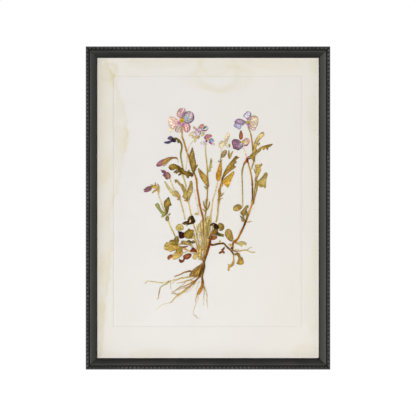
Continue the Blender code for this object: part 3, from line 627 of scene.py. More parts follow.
def lay_stem(route, widths, colours, joints=(), edge=0.22, wander=0.0, sides=14):
    """A stem or root: flattened round sections along a smooth line, laid on the pile.

    Its width runs between the given widths, swells as a bell curve at each joint, and is
    uneven by slow sines.  The colour runs along it, darkens towards both edges as painted
    shade of its round sides, and is stained in short lengths where two sines along it agree.
    """
    length = np.hypot(*np.diff(np.array(route, dtype=float), axis=0).T).sum()
    share = np.linspace(0.0, 1.0, max(8, int(length / STEM_PITCH)))
    places, step, length = follow(route, share)
    side = np.column_stack((-step[:, 1], step[:, 0]))
    phase = dice.uniform(0, 2 * math.pi, 6)
    run = share * length
    sway = np.sin(run / 2.3 + phase[0]) + 0.6 * np.sin(run / 1.1 + phase[1])
    places = places + side * (wander * sway * np.sin(math.pi * share))[:, None]
    width = np.interp(share, np.linspace(0, 1, len(widths)), widths)
    width = width * (1 + 0.07 * np.sin(run / 1.7 + phase[2]) + 0.05 * np.sin(run / 0.6 + phase[3]))
    for place, swell, spread in joints:
        width = width * (1 + swell * np.exp(-((run - place * length) / spread) ** 2))
    width = width * np.clip(np.minimum(share, 1 - share) * length / 0.4 + 0.35, 0, 1)
    turn = math.pi * (1 - 2 * np.arange(sides) / sides)
    ribs = 1 + 0.07 * np.cos(5 * turn + phase[4])
    out = side[:, None] * (np.cos(turn) * ribs)[:, None] * width[:, None, None] / 2
    out = places[:, None] + out
    bed = under_places(places)[:, None] + CLEARANCE
    height = bed + width[:, None] * STEM_FLATNESS * (1 + np.sin(turn) * ribs) / 2
    add_to_pile(out, height)
    stain = np.clip(np.sin(run / 1.9 + phase[5]) * np.sin(run / 0.8 + phase[0]), 0, 1)
    # Painted shade: the colour darkens towards both sides of the round section
    tint = blend_along(colours, share)[:, None] * (1 - edge * np.abs(np.cos(turn)) ** 4)[:, None]
    tint = tint * (1 - 0.3 * stain)[:, None, None]
    grain = np.stack((np.cos(turn) * width[:, None] / 2 + 7 * phase[5],
                      run[:, None] + 0 * turn), axis=-1)
    paint = np.concatenate((tint, np.ones(tint.shape[:2] + (1,))), axis=-1)
    return {"rings": place_points(out, height), "tint": paint, "vein": paint * 0, "grain": grain}


def lay_strand(route, widths, colours, wander=0.25, sides=10):
    """A stem or root as fine as a thread, which has fewer sides and wanders more."""
    return lay_stem(route, widths, colours, wander=wander, sides=sides)


def dry_finish(name, mottle, spot, streak, roughness, bump, net=0.0):
    """Dried tissue in its piece's own tints.

    The tint is mottled by cloudy patterns of two sizes, streaked by the fibres along the
    grain, darker in the lines of a net of fine veins, and takes the vein colour where
    the fibres and the vein's strength allow.
    """
    finish, nodes, shader, wire = new_finish(name, roughness)
    shader.inputs["Specular IOR Level"].default_value = 0.03
    coordinates = nodes.new("ShaderNodeTexCoord")
    place = coordinates.outputs["Object"]
    cloud = add_noise(nodes, wire, place, 520.0, detail=6.0)
    speck = add_noise(nodes, wire, place, 1300.0, detail=4.0)
    fibres = add_noise(nodes, wire, coordinates.outputs["UV"], 1.0, streak, 4.0)
    vein = add_mix(nodes, wire, 1.0, add_mark(nodes, "vein", "Alpha"),
                   add_ramp(nodes, wire, fibres, (0.36, 0.45), (0.54, 1.0)), "MULTIPLY")
    colour = add_mix(nodes, wire, vein, add_mark(nodes, "tint", "Color"),
                     add_mark(nodes, "vein", "Color"))
    for pattern, depth in ((cloud, mottle), (speck, spot), (fibres, spot)):
        shade = add_ramp(nodes, wire, pattern, (0.36, 1 - depth), (0.62, 1 + depth))
        colour = add_mix(nodes, wire, 1.0, colour, shade, "MULTIPLY")
    if net:
        cells = nodes.new("ShaderNodeTexVoronoi")
        cells.feature = "DISTANCE_TO_EDGE"
        cells.inputs["Scale"].default_value = 1.5
        wire(coordinates.outputs["UV"], cells.inputs["Vector"])
        lines = add_ramp(nodes, wire, cells.outputs["Distance"], (0.0, 1 - net), (0.12, 1.0))
        colour = add_mix(nodes, wire, 1.0, colour, lines, "MULTIPLY")
    wire(colour, shader.inputs["Base Color"])
    wire(add_ramp(nodes, wire, speck, (0.3, roughness - 0.1), (0.7, roughness + 0.1)),
         shader.inputs["Roughness"])
    add_bump(nodes, wire, add_mix(nodes, wire, 0.5, fibres, speck), shader, bump)
    return finish


def press(node, slot, finish, *pressed, name=None):
    """Makes one piece of what was laid, in the place of a CAD node."""
    piece = close_rings(name or "pressed_" + node, [part["rings"] for part in pressed])
    for key in ("tint", "vein"):
        mark(piece, key, np.concatenate([with_poles(part[key]) for part in pressed]))
    unwrap(piece, np.concatenate([with_poles(part["grain"]) for part in pressed]))
    piece.data.materials.append(finish)
    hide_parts(node)


# Below, routes and margins are places in the photograph's pixels, of a millimetre each,
# widths are in millimetres, and colours are screen colours of 0 to 255.
stem_finish = dry_finish("dried_stem", 0.16, 0.2, (5.0, 0.22, 1.0), 0.66, 0.00006)
STRAW = (212, 176, 88)
PALE_STRAW = (222, 200, 146)
GHOST = (226, 212, 180)

press("stem_tall_left", "stem_tan", stem_finish,
    lay_stem([(182.3, 124), (182.1, 129), (182.2, 136.7), (183.7, 140.6), (186.8, 151.7),
        (188.7, 156.6), (192, 169), (194.6, 174), (196.5, 180), (197.2, 189), (198, 193),
        (200, 206), (203, 218), (203, 228), (202.5, 238), (202, 246), (201, 252)],
        (1.3, 1.7, 1.7, 1.8, 2.0, 2.1),
        [STRAW, (184, 136, 36), (188, 136, 34), (184, 130, 34), (172, 114, 26), (166, 102, 24),
        (164, 94, 16), (184, 120, 34), (198, 148, 62)],
        joints=((0.1, 0.35, 0.8), (0.25, 0.3, 0.9), (0.43, 0.3, 1.0), (0.64, 0.3, 1.0),
        (0.82, 0.3, 1.2))))
press("stem_low_bud", "stem_tan", stem_finish,
    lay_stem([(168.3, 175.5), (169.5, 178), (171, 182), (173, 187), (175, 191), (178, 196),
        (180, 200), (182, 207), (184, 215), (185, 220)], (1.1, 1.3, 1.4),
        [(213, 190, 121), (222, 204, 160), (221, 202, 141), (202, 178, 106), (211, 190, 127),
        (221, 206, 149)], joints=((0.55, 0.5, 1.0),)))
press("stem_far_left", "stem_tan", stem_finish,
    lay_stem([(156.4, 189.5), (157.5, 192), (159, 197), (160.5, 201), (163, 208), (166, 214),
        (168, 221), (170, 226), (172.5, 231), (175, 236.5)], (1.1, 1.2, 1.5, 1.4),
        [(225, 206, 142), (220, 204, 162), (218, 199, 141), (186, 170, 87), (217, 204, 138),
        (211, 193, 121), (168, 137, 56)], joints=((0.5, 0.5, 1.2),)))
press("stem_short_right", "stem_tan", stem_finish,
    lay_stem([(222.2, 177.5), (221.5, 184), (219.5, 190), (219, 198), (218, 208), (217.5, 215),
        (216, 222.5)], (1.4, 2.0, 2.1, 1.5, 1.6),
        [(185, 150, 67), (172, 129, 44), (152, 116, 44), (192, 158, 84), (203, 170, 100),
        (185, 148, 67)], joints=((0.3, 0.4, 0.9), (0.5, 0.3, 0.8))))
press("stem_right_inner", "stem_tan", stem_finish,
    lay_stem([(243.6, 147.5), (244.9, 151), (246.4, 156), (247.2, 158)], (0.8, 1.0),
        [(226, 210, 184), (232, 201, 169), (219, 179, 135)]),
    lay_stem([(246.8, 159), (245.3, 161.5), (243.8, 165), (242.6, 169), (242.1, 173), (242.2, 180),
        (242.5, 190), (242.7, 200), (242.5, 207.5)], (1.4, 1.6, 1.3, 1.1, 1.2, 1.3),
        [(171, 135, 65), (153, 131, 58), (168, 148, 79), (191, 168, 108), (164, 145, 79),
        (177, 157, 100), (197, 173, 117), (208, 181, 124)], joints=((0.1, 0.4, 1.2),)))
press("stem_left_bud", "stem_tan", stem_finish,
    lay_stem([(178.7, 139.2), (181.4, 144), (181.8, 147.8), (180.7, 153.6), (181.2, 159.7),
        (182.5, 166), (182.5, 174), (184, 179), (186, 186), (188.5, 201), (189.5, 207),
        (191.5, 216), (194, 226), (196, 232), (198.5, 243), (200, 249)],
        (1.8, 1.5, 1.3, 1.2, 1.3, 1.4),
        [(117, 102, 29), (136, 122, 40), (169, 152, 64), (193, 174, 92), (222, 197, 120),
        (230, 205, 135), (218, 184, 107), (211, 178, 105), (194, 156, 77), (201, 163, 88)],
        joints=((0.25, 0.3, 0.8), (0.53, 0.6, 1.0))),
    lay_stem([(195.3, 138), (192, 142), (188.6, 147.4), (187, 154), (186.4, 166), (183.6, 177)],
        (0.7, 0.8, 0.9), [(226, 212, 184), (222, 206, 172), (226, 212, 184)]),
    lay_stem([(194, 190), (196, 199), (199, 214)], (0.6, 0.7), [(226, 208, 172), (220, 196, 150)]))
press("stem_faded", "stem_tan", stem_finish,
    lay_stem([(221.6, 146.5), (221.3, 152), (221, 157), (220.5, 160), (218.5, 176), (217.5, 182),
        (216, 190), (213, 200), (212, 208), (211, 215), (211, 223)], (1.0, 1.2, 1.3, 1.4),
        [GHOST, GHOST, PALE_STRAW, PALE_STRAW, STRAW], joints=((0.17, 0.5, 0.8),)))
press("stem_right", "stem_tan", stem_finish,
    lay_stem([(248.2, 162), (249.2, 166.5), (250.6, 171.5), (251.7, 177.1), (252.4, 182.8),
        (252.6, 190), (252.7, 197), (252.4, 203), (251, 207.6), (249.9, 210.4), (247.9, 216),
        (245.7, 221.7), (243.6, 227), (241.4, 231.6), (237.9, 238.7), (235.1, 241.5),
        (233.3, 242.9), (232.6, 247.2), (231.5, 249.6)], (1.3, 1.5, 1.8, 2.1, 2.0, 2.1),
        [(179, 133, 39), (188, 145, 39), (178, 129, 27), (146, 94, 18), (106, 66, 12),
        (116, 70, 16), (206, 152, 70), (204, 160, 80), (134, 84, 16), (96, 50, 6), (157, 97, 13),
        (182, 120, 24), (151, 93, 16), (119, 69, 12)],
        joints=((0.02, 0.3, 1.0), (0.24, 0.35, 1.0), (0.42, 0.35, 1.1), (0.9, 0.5, 1.1),
        (0.99, 0.5, 1.1))))
press("stem_middle", "stem_tan", stem_finish,
    lay_stem([(206.3, 143), (205.6, 146), (205.5, 150), (206, 156), (206.7, 162), (207.3, 168),
        (207.5, 175), (208, 182), (207.5, 190), (207, 200), (206, 210), (205, 218.5)],
        (1.0, 1.3, 1.3, 1.4, 1.6),
        [(216, 196, 150), (198, 175, 94), (192, 163, 75), (178, 149, 62), (163, 129, 46),
        (173, 142, 57), (144, 111, 37), (183, 159, 84)],
        joints=((0.42, 0.5, 1.0), (0.75, 0.5, 1.3))))
press("stem_right_flower", "stem_tan", stem_finish,
    lay_stem([(247.8, 126), (250, 131.2), (251.2, 135.4), (251.9, 140.1), (252.6, 145.4),
        (253, 149), (254, 155), (254.1, 160.8), (252.4, 165.8), (251.3, 169.4)],
        (1.1, 1.3, 1.4, 1.8, 1.3),
        [(171, 149, 83), (185, 147, 65), (181, 138, 53), (171, 128, 46), (143, 104, 29),
        (134, 97, 30), (178, 150, 85), (204, 183, 122)],
        joints=((0.58, 0.4, 1.2), (0.8, 0.3, 1.2))))


# Crown, runner and twig
# The woody crown goes down into the taproot.  The runner springs from it to the right
# and ends in a leaf, and the forked twig hangs on the runner's side.

wood_finish = dry_finish("red_wood", 0.2, 0.26, (4.0, 0.3, 1.0), 0.7, 0.00012)
CROWN_RED = (118, 62, 26)
press("crown", "crown_brown", wood_finish,
    lay_stem([(212.6, 231), (211.4, 235), (210.1, 239), (209.3, 245), (207.2, 251.3), (205.8, 257),
        (204, 261.2), (204.3, 266.9), (203.2, 272), (202.2, 277), (202.7, 284.3), (201.3, 288.4),
        (199.4, 292), (197.6, 295)], (2.0, 2.5, 2.7, 2.8, 2.6, 2.4, 1.9, 1.8, 2.0, 2.6, 3.6, 2.4),
        [(106, 53, 25), (119, 59, 23), (119, 55, 19), (115, 59, 17), (132, 83, 31), (104, 64, 18),
        (92, 57, 15), (106, 68, 19), (111, 68, 18), (142, 92, 28), (195, 136, 51), (191, 143, 66)],
        joints=((0.2, 0.25, 1.0), (0.45, 0.3, 1.0), (0.62, 0.2, 0.8)), wander=0.12, sides=18),
    lay_stem([(208.4, 243), (206, 249), (204.2, 255), (203.2, 261.4)], (1.1, 1.4, 1.0),
        [(210, 171, 92), (216, 185, 109), (198, 157, 76), (143, 100, 37)]),
    lay_strand([(204.4, 262), (203.2, 266), (202.2, 271), (201.6, 277)], (1.0, 0.8),
        [(176, 137, 55), (188, 153, 72), (198, 169, 92)], wander=0.0))
press("twig", "stem_tan", stem_finish,
    lay_stem([(232.2, 250.2), (235.2, 251.3), (240, 251), (244, 250.4), (247.4, 250.5),
        (251, 252.2), (255.8, 252.4)], (1.4, 1.2, 1.1, 0.9),
        [(152, 100, 27), (190, 153, 70), (198, 173, 90), (208, 185, 106)], wander=0.1),
    lay_stem([(246.6, 250.8), (249, 248.6), (252.4, 247)], (1.0, 0.7),
        [(200, 175, 94), (216, 200, 156)], wander=0.1),
    lay_strand([(234, 250.6), (236.4, 249.6), (239.6, 249.4)], (0.8, 0.6),
        [(194, 153, 70), (206, 178, 100)], wander=0.0))


# Leaves at the buds' height and on the stems
# Thin dried leaves and lobed stipules, olive, gold and brown, creased as they were
# pressed.  A lobed leaf is its main blade with a narrower one for each finger.

COLUMNS_PER_MM = 5.2     # of half a blade's width
BLADE_PITCH = 0.32       # between a blade's stations, on average
CUP = 0.06               # how far a blade's margins are lifted
RIDGE = 0.06             # how high a vein stands


def dress_blade(minus, plus, t, colours, edge, vein, edge_from=0.6, ribs=6, rib_strength=0.75,
                rays=0.0, dark=0.5, thick=0.15, crumple=0.14, ragged=0.14, rim_fill=1.0,
                other_edge=None):
    """A leaf or petal between two margins, laid on the pile.

    Each margin is moved out and in (ragged) by two short sines of the way along it.  With
    u from -1 to 1 across, its relief is a few crossed sines (crumple), the margins lifted
    as the square of u, and ridges on its veins (rib_strength).  These are a midrib with
    side veins (ribs) that run forward, as cosines of t and |u|, or else a number of rays
    that fan out from its foot.
    The colour runs along it and turns to the edge colour over the outer part of its
    width, which begins at edge_from, the sooner the more rim_fill is.  A last half
    millimetre is dark and dry (dark), wider in some places than in others, and blotches
    of crossed sines make it lighter and darker all over.
    """
    half = (plus - minus) / 2
    middle = (plus + minus) / 2
    step = np.gradient(middle, axis=0)
    run = np.concatenate(((0.0,), np.cumsum(np.hypot(*np.diff(middle, axis=0).T))))[:, None]
    if (step[:, 0] * half[:, 1] - step[:, 1] * half[:, 0]).sum() < 0:
        half = -half
    wide = np.maximum(np.hypot(*half.T), 0.01)[:, None]
    columns = int(np.clip(COLUMNS_PER_MM * wide.max(), 10, 30))
    front = np.sin(np.linspace(-math.pi / 2, math.pi / 2, columns + 1))
    u = np.concatenate((front, front[-2:0:-1]))[None]
    top = np.concatenate(((0.5,), np.ones(columns - 1), (0.5,), np.zeros(columns - 1)))[None]
    t = t[:, None]
    phase = dice.uniform(0, 2 * math.pi, 14)
    facing = np.where(u > 0, 1.0, 0.0)
    bite = 0.6 * np.sin(run / 0.24 + phase[0] + 2 * facing)
    bite = bite + 0.5 * np.sin(run / 0.11 + phase[1] + facing)
    out = u * (wide + ragged * bite * u ** 4 * np.clip(wide / 1.4, 0, 1))
    spots = middle[:, None] + (half / wide)[:, None] * out[..., None]
    hollow = 0.5 + 0.3 * np.sin(9 * t + 2 * u + phase[2]) + 0.2 * np.sin(19 * t - 4 * u + phase[3])
    lift = crumple * hollow * np.sin(math.pi * t) ** 0.5 + CUP * u ** 2
    height = under_places(spots) + CLEARANCE + lift + top * thick * (1 - 0.8 * np.abs(u) ** 5)
    if rays:
        bend = rays * math.pi * u + 0.7 * np.sin(5 * t + phase[4]) * u
        strength = (0.5 + 0.5 * np.cos(bend + phase[5] / 6)) ** 2 * np.clip(t / 0.12, 0, 1)
    else:
        side_veins = np.clip(np.cos(2 * math.pi * (ribs * t - 0.7 * np.abs(u)) + phase[4]), 0, 1)
        side_veins = 0.8 * side_veins ** 3 * (1 - np.abs(u)) ** 0.4
        strength = np.maximum(np.exp(-(out / 0.22) ** 2) * (1 - t ** 3), side_veins)
    strength = np.clip(strength * rib_strength, 0, 1)
    height = height + RIDGE * top * strength
    add_to_pile(spots, height)
    shore = np.minimum((1 - np.abs(u)) * wide, (1 - t) * run[-1] + 0.05)
    rim = np.clip(rim_fill * (1 - shore / ((1 - edge_from) * wide.max())), 0, 1)
    tint = blend_along(colours, t[:, 0])[:, None] * np.ones_like(out)[..., None]
    margin = pigments(edge) * np.ones_like(tint)
    if other_edge:
        margin = margin + (pigments(other_edge) - margin) * np.clip(u[..., None] * 2 + 0.5, 0, 1)
    tint = tint + (margin - tint) * rim[..., None]
    dry = 0.22 + 0.3 * np.sin(run / 1.1 + phase[6] + 3 * facing)
    dry = dry + 0.14 * np.sin(run / 0.4 + phase[7])
    crust = np.clip(0.5 + (dry - shore) / 0.16, 0, 1)
    crust = crust * (0.75 + 0.25 * np.sin(run / 0.7 + phase[8]))
    blotch = np.sin(run / 0.55 + 1.5 * out + phase[9]) * np.sin(out / 0.42 - run / 1.2 + phase[10])
    blotch = np.tanh(2.5 * (blotch + 0.5 * np.sin(run / 2.1 - out / 1.3 + phase[13])))
    tint = tint * (1 - dark * crust)[..., None] * (1 + 0.8 * dark * blotch)[..., None]
    paint = np.concatenate((tint, np.ones_like(out)[..., None]), axis=-1)
    lines = np.concatenate((pigments(vein) * np.ones_like(tint), strength[..., None]), axis=-1)
    grain = np.stack((out + 9 * phase[11], run + 9 * phase[12] + 0 * out), axis=-1)
    return {"rings": place_points(spots, height), "tint": paint, "vein": lines, "grain": grain}


def share_out(length):
    """Shares from 0 to 1 of a blade's length for its stations, closer towards both ends."""
    stations = int(np.clip(length / BLADE_PITCH, 16, 80))
    return (1 - np.cos(math.pi * np.linspace(0.035, 0.965, stations))) / 2


TOOTH_DEPTH = 0.3        # of half a blade's width


def lay_blade(route, width, colours, edge, vein, widest=0.5, fullness=1.3, teeth=0, **look):
    """A blade along a smooth midrib.

    With t along it, p its widest place and k its fullness, half its width is half the
    greatest times (t / p) ^ (k p) times ((1 - t) / (1 - p)) ^ (k (1 - p)), an ellipse for
    k = 1 and pointed for more.  Each tooth widens it evenly and then drops back at once.
    """
    t = share_out(follow(route, np.array((0.0, 1.0)))[2])
    places, step, length = follow(route, t)
    side = np.column_stack((-step[:, 1], step[:, 0]))
    swell = (t / widest) ** (fullness * widest)
    swell = swell * ((1 - t) / (1 - widest)) ** (fullness * (1 - widest))
    margins = []
    for way in (-1, 1):
        tooth = (teeth * t + 0.3 * way + 0.1 * np.sin(9 * t + way)) % 1
        cut = 1 - TOOTH_DEPTH * (1 - tooth) if teeth else 1.0
        margins.append(places + way * side * (swell * cut * width / 2)[:, None])
    return dress_blade(*margins, t, colours, edge, vein, **look)


def lay_leaf(left, right, colours, edge, vein, **look):
    """A blade between two margins, each a smooth line from its foot to its tip."""
    t = share_out(max(follow(margin, np.array((0.0, 1.0)))[2] for margin in (left, right)))
    return dress_blade(follow(left, t)[0], follow(right, t)[0], t, colours, edge, vein, **look)


leaf_finish = dry_finish("dried_leaf", 0.24, 0.26, (3.4, 0.4, 1.0), 0.7, 0.00012, 0.22)
OLIVE = (146, 122, 46)
OLIVE_DARK = (86, 64, 14)
BROWN_OLIVE = (118, 90, 22)
KHAKI = (188, 162, 92)
GOLD = (186, 146, 56)
PALE_GOLD = (204, 174, 102)
VEIN_PALE = (206, 184, 118)
VEIN_DARK = (80, 56, 12)
HOOK = (124, 98, 38)
HOOK_EDGE = (84, 62, 12)

press("leaf_orange", "leaf_gold", leaf_finish,
    lay_leaf([(217.9, 181.5), (216.6, 179.9), (215.9, 177.1), (215.9, 174.3), (217, 170.8),
        (218.4, 166.5), (219.7, 162.8), (220.6, 159.9)],
        [(218.8, 181.2), (220.3, 179.2), (221.5, 175.7), (222, 171.5), (221.9, 167.2),
        (221.7, 163), (221, 159.9)],
        [(177, 118, 23), (193, 136, 38), (191, 147, 53), (171, 128, 42)], (185, 113, 13),
        (223, 184, 88), edge_from=0.3, ribs=4, other_edge=(169, 130, 51)),
    lay_blade([(220.5, 161.7), (219.5, 161.3), (217.8, 160.8)], 1.5, [GOLD, OLIVE], OLIVE_DARK,
        STRAW),
    lay_blade([(221, 161.6), (221.5, 160.4), (220.5, 158.9)], 1.2, [GOLD, OLIVE], OLIVE_DARK,
        STRAW))
press("leaf_hooked", "leaf_olive", leaf_finish,
    lay_blade([(187.1, 174.5), (187.7, 176.4), (187.9, 178.3)], 3.4, [HOOK, (131, 105, 36)],
        HOOK_EDGE, VEIN_DARK, teeth=2),
    lay_blade([(181.7, 173), (180.2, 173.9), (178, 175.4)], 2.2, [HOOK, HOOK], HOOK_EDGE,
        VEIN_DARK),
    lay_blade([(179.2, 171.5), (177.4, 172.2), (175.4, 173.5)], 1.8, [HOOK, (127, 103, 38)],
        HOOK_EDGE, VEIN_DARK),
    lay_blade([(177.4, 169.8), (175.6, 171.2), (173.4, 172.7)], 2.0, [HOOK, (127, 103, 38)],
        HOOK_EDGE, VEIN_DARK),
    lay_blade([(183.5, 170.6), (182.8, 169.2), (182.3, 167.8)], 1.8, [HOOK, HOOK], HOOK_EDGE,
        VEIN_DARK),
    lay_blade([(187.7, 172.7), (188.5, 171.2), (189, 169.5)], 2.0, [HOOK, (137, 113, 43)],
        HOOK_EDGE, VEIN_DARK),
    lay_blade([(190.8, 175.2), (191.5, 176.2), (191.9, 177.3)], 1.4, [HOOK, HOOK], HOOK_EDGE,
        VEIN_DARK),
    lay_leaf([(193.6, 174.1), (190.5, 171.9), (187.7, 171.6), (184.7, 170.5), (181.7, 168),
        (179.2, 165.9), (176.8, 164.7), (174.4, 163.8), (171.7, 163.8), (169.3, 165.3),
        (168.3, 167.4)],
        [(193.3, 176.4), (190.5, 176), (187.7, 176.2), (184.7, 174.8), (181.7, 173.8),
        (179.2, 172.2), (177.4, 170.3), (175.4, 168.8), (173.2, 170.1), (170.8, 170.1),
        (168.8, 168.7)],
        [(113, 87, 21), (125, 99, 34), (147, 119, 51), (109, 85, 25), (137, 109, 42),
        (155, 127, 55), (137, 109, 40)], HOOK_EDGE, VEIN_DARK, dark=0.6, ribs=9))
press("leaf_left_long", "leaf_gold", leaf_finish,
    lay_blade([(180, 198.8), (178.3, 199.2), (176.5, 199.3)], 1.7, [(162, 132, 57), GOLD],
        OLIVE_DARK, KHAKI, teeth=2),
    lay_blade([(179.2, 198.2), (178.3, 198.8), (177.9, 200.4)], 1.2, [(162, 132, 57), GOLD],
        OLIVE_DARK, KHAKI),
    lay_leaf([(180, 199.2), (176.8, 197.3), (172.6, 195.7), (170.3, 193), (168.5, 190.3),
        (166.6, 187.4), (165.3, 184.2), (163.8, 181.8)],
        [(180.7, 198.2), (179, 195.2), (175.6, 192.7), (173.8, 191.3), (171.4, 189.1),
        (169.4, 186.7), (167.4, 184), (164.8, 181)],
        [(185, 150, 70), (198, 179, 110), (207, 197, 130), (205, 193, 123), (189, 171, 104)],
        (172, 150, 85), (216, 198, 144), edge_from=0.75, ribs=8, dark=0.35),
    lay_leaf([(179.6, 198.5), (176.8, 196.4), (174.4, 192.7), (174.3, 191)],
        [(180.7, 197), (179.6, 194.3), (177.7, 191.5), (176.1, 190.3)],
        [(177, 134, 59), (192, 156, 91), (198, 166, 104)], (158, 119, 57), (212, 182, 112),
        dark=0.35))
press("leaf_pair_left", "leaf_olive", leaf_finish,
    lay_leaf([(187.7, 200.9), (184.1, 198.5), (182.3, 196.7), (183.3, 194.6), (183, 192.1),
        (181.7, 189.4), (180.2, 186.4), (178.3, 184.2), (176.9, 182.3), (175.5, 183.8)],
        [(188.7, 198.8), (188, 195.2), (187.1, 192.1), (185.6, 189.1), (184.2, 186.6),
        (182.4, 184), (180.6, 183.3), (178.8, 181.1), (176.3, 179.3), (174.2, 180.1)],
        [(165, 138, 69), (171, 146, 77), (177, 152, 85), (177, 150, 81), (155, 128, 57)],
        (155, 132, 71), VEIN_PALE, edge_from=0.7, other_edge=(114, 89, 30), ribs=8),
    lay_leaf([(187.9, 200.9), (186.9, 197.6), (186.8, 192.7), (187.6, 189.7), (188.6, 186.7),
        (189.3, 183.9), (189.9, 181)],
        [(189.1, 200.6), (191, 195.5), (192.5, 192.1), (193, 189.1), (192.8, 186.1), (192.5, 183),
        (191.6, 180.4)],
        [(165, 138, 69), (177, 154, 89), (187, 164, 103), (167, 142, 71), (130, 105, 38)],
        (130, 105, 43), VEIN_PALE, edge_from=0.7, ribs=7),
    lay_blade([(188.1, 200.6), (185.9, 200.5), (183.7, 200.4)], 1.6, [(144, 107, 43), GOLD],
        OLIVE_DARK, KHAKI),
    lay_blade([(188.2, 200.4), (187.9, 201.1), (186.8, 202.2)], 1.2, [(144, 107, 43), GOLD],
        OLIVE_DARK, KHAKI))
press("leaf_tall", "leaf_olive", leaf_finish,
    lay_blade([(195.4, 168.5), (196.4, 166.4), (197.6, 164.1)], 1.9, [OLIVE, BROWN_OLIVE],
        OLIVE_DARK, VEIN_PALE),
    lay_blade([(194.7, 170.9), (195.5, 169.1), (196, 167.4)], 1.4, [OLIVE, BROWN_OLIVE],
        OLIVE_DARK, VEIN_PALE),
    lay_leaf([(193.3, 174.5), (191.8, 170.6), (190.4, 166.4), (189.8, 162.2), (189.3, 157.6),
        (189.8, 153.4), (191, 149.8), (192, 147)],
        [(194, 173.8), (195.2, 170.6), (195.6, 167.6), (196, 164), (195.7, 160.6), (194.7, 157),
        (194.5, 154), (193.5, 150.4), (192.4, 147)],
        [(106, 78, 20), (140, 109, 48), (160, 132, 67), (164, 138, 74), (150, 122, 56),
        (118, 90, 29)], (106, 78, 18), (179, 156, 88), edge_from=0.55, ribs=9, rib_strength=0.6,
        dark=0.6))
press("leaf_middle_right", "leaf_olive", leaf_finish,
    lay_leaf(
        [(207.7, 172.8), (207.8, 170), (209, 167.4), (209.6, 165), (210, 161.6), (210.8, 158)],
        [(208.4, 172.6), (210.6, 170.6), (210.8, 168.4), (212.5, 166.8), (211.7, 164.4),
        (212.2, 161), (211.6, 157.8)],
        [(159, 146, 70), (177, 165, 95), (183, 171, 101), (173, 159, 90)], (142, 127, 60),
        (200, 194, 121), edge_from=0.75, dark=0.3))
press("leaf_middle_left", "leaf_olive", leaf_finish,
    lay_blade([(208.2, 189.4), (206.4, 187.6), (203.8, 186.2)], 1.6, [OLIVE, GOLD], OLIVE_DARK,
        VEIN_PALE),
    lay_blade([(208.4, 190.4), (206.6, 188.8), (205, 188)], 1.2, [OLIVE, GOLD], OLIVE_DARK,
        VEIN_PALE),
    lay_leaf([(208.2, 188), (205.6, 184.8), (202.6, 181), (200.4, 177.4), (198.9, 173.4),
        (198, 170.2), (198, 168)],
        [(209.2, 186.6), (208.9, 182.6), (207.9, 178.8), (206, 175.4), (203.4, 172.4),
        (200.6, 169.8), (198.6, 167.8)],
        [(152, 115, 44), (175, 140, 68), (182, 146, 74), (175, 140, 64), (144, 111, 38)],
        (128, 98, 32), (198, 170, 97), edge_from=0.65, ribs=8))
press("stem_middle", "leaf_olive", leaf_finish,
    lay_blade([(206.6, 211.4), (204.6, 206), (203, 200.4)], 1.7, [(129, 101, 32), (163, 137, 62)],
        (100, 73, 17), STRAW),
    lay_blade([(206.8, 210.8), (208.8, 206), (209.8, 201)], 1.6, [(129, 101, 32), (163, 137, 62)],
        (100, 73, 17), STRAW),
    lay_blade([(206.4, 212.4), (204, 210.2), (202.2, 208.8)], 1.5,
        [(144, 116, 42), (169, 145, 72)], (115, 88, 27), STRAW),
    lay_blade([(206.9, 207), (206, 203), (206.2, 198.6)], 1.2, [(129, 101, 32), (154, 125, 51)],
        (100, 73, 17), STRAW),
    name="pressed_middle_stipules")
press("leaf_pair_right", "leaf_olive", leaf_finish,
    lay_leaf([(219.9, 187.2), (219.8, 185.6), (220.5, 183.5), (221.5, 181.2)],
        [(221, 187.3), (222.7, 185.6), (223, 183.5), (222.5, 181.2)],
        [(162, 106, 30), (186, 129, 49), (190, 141, 55), (162, 118, 39)], (130, 81, 17), STRAW),
    lay_leaf([(222, 181.5), (223.9, 178.9), (226.6, 176.4), (229.4, 174.3), (232.2, 172),
        (234.2, 170.8)],
        [(222.3, 182.6), (223.9, 183.8), (225.8, 186), (228, 187.6), (229.4, 185.6),
        (230.7, 182.1), (232.2, 178.5), (233.6, 175.3), (234.6, 173)],
        [(173, 122, 31), (198, 154, 58), (205, 162, 68), (203, 158, 60), (177, 129, 35)],
        (130, 89, 17), (225, 180, 75), edge_from=0.72, rays=4.0, rib_strength=0.7,
        other_edge=(173, 131, 42)),
    lay_leaf([(221.2, 180.9), (222.6, 175.7), (223.9, 172.2), (225.8, 168.6), (228, 165.1),
        (230.8, 161.6), (233.6, 158), (235.3, 155.9)],
        [(222.3, 180.7), (224.1, 177.4), (226.6, 174.4), (229.8, 171.6), (233.1, 169.2),
        (236.3, 166.8), (234.2, 165.2), (235.3, 163.5), (236.9, 162), (235.9, 160.6),
        (237.2, 158.9), (239.6, 157.3), (237.7, 156.5), (236.5, 155.6)],
        [(132, 95, 26), (162, 129, 53), (173, 141, 68), (179, 145, 69), (158, 125, 49),
        (130, 100, 31)], (102, 75, 15), (91, 64, 11), ribs=9, rib_strength=0.7, dark=0.55))
press("stem_short_right", "leaf_olive", leaf_finish,
    lay_blade([(219.6, 197.6), (221.4, 195.6), (224.2, 192.4)], 1.3,
        [(152, 120, 49), (192, 161, 90)], (121, 91, 30), STRAW),
    lay_blade([(219.8, 196), (220.8, 194), (221, 191.6)], 1.1, [(152, 120, 49), (192, 161, 90)],
        (121, 91, 30), STRAW),
    lay_blade([(218.6, 199), (221, 198.6), (223.2, 198.2)], 1.1, [(152, 120, 49), (185, 154, 84)],
        (121, 91, 30), STRAW),
    name="pressed_short_right_stipules")
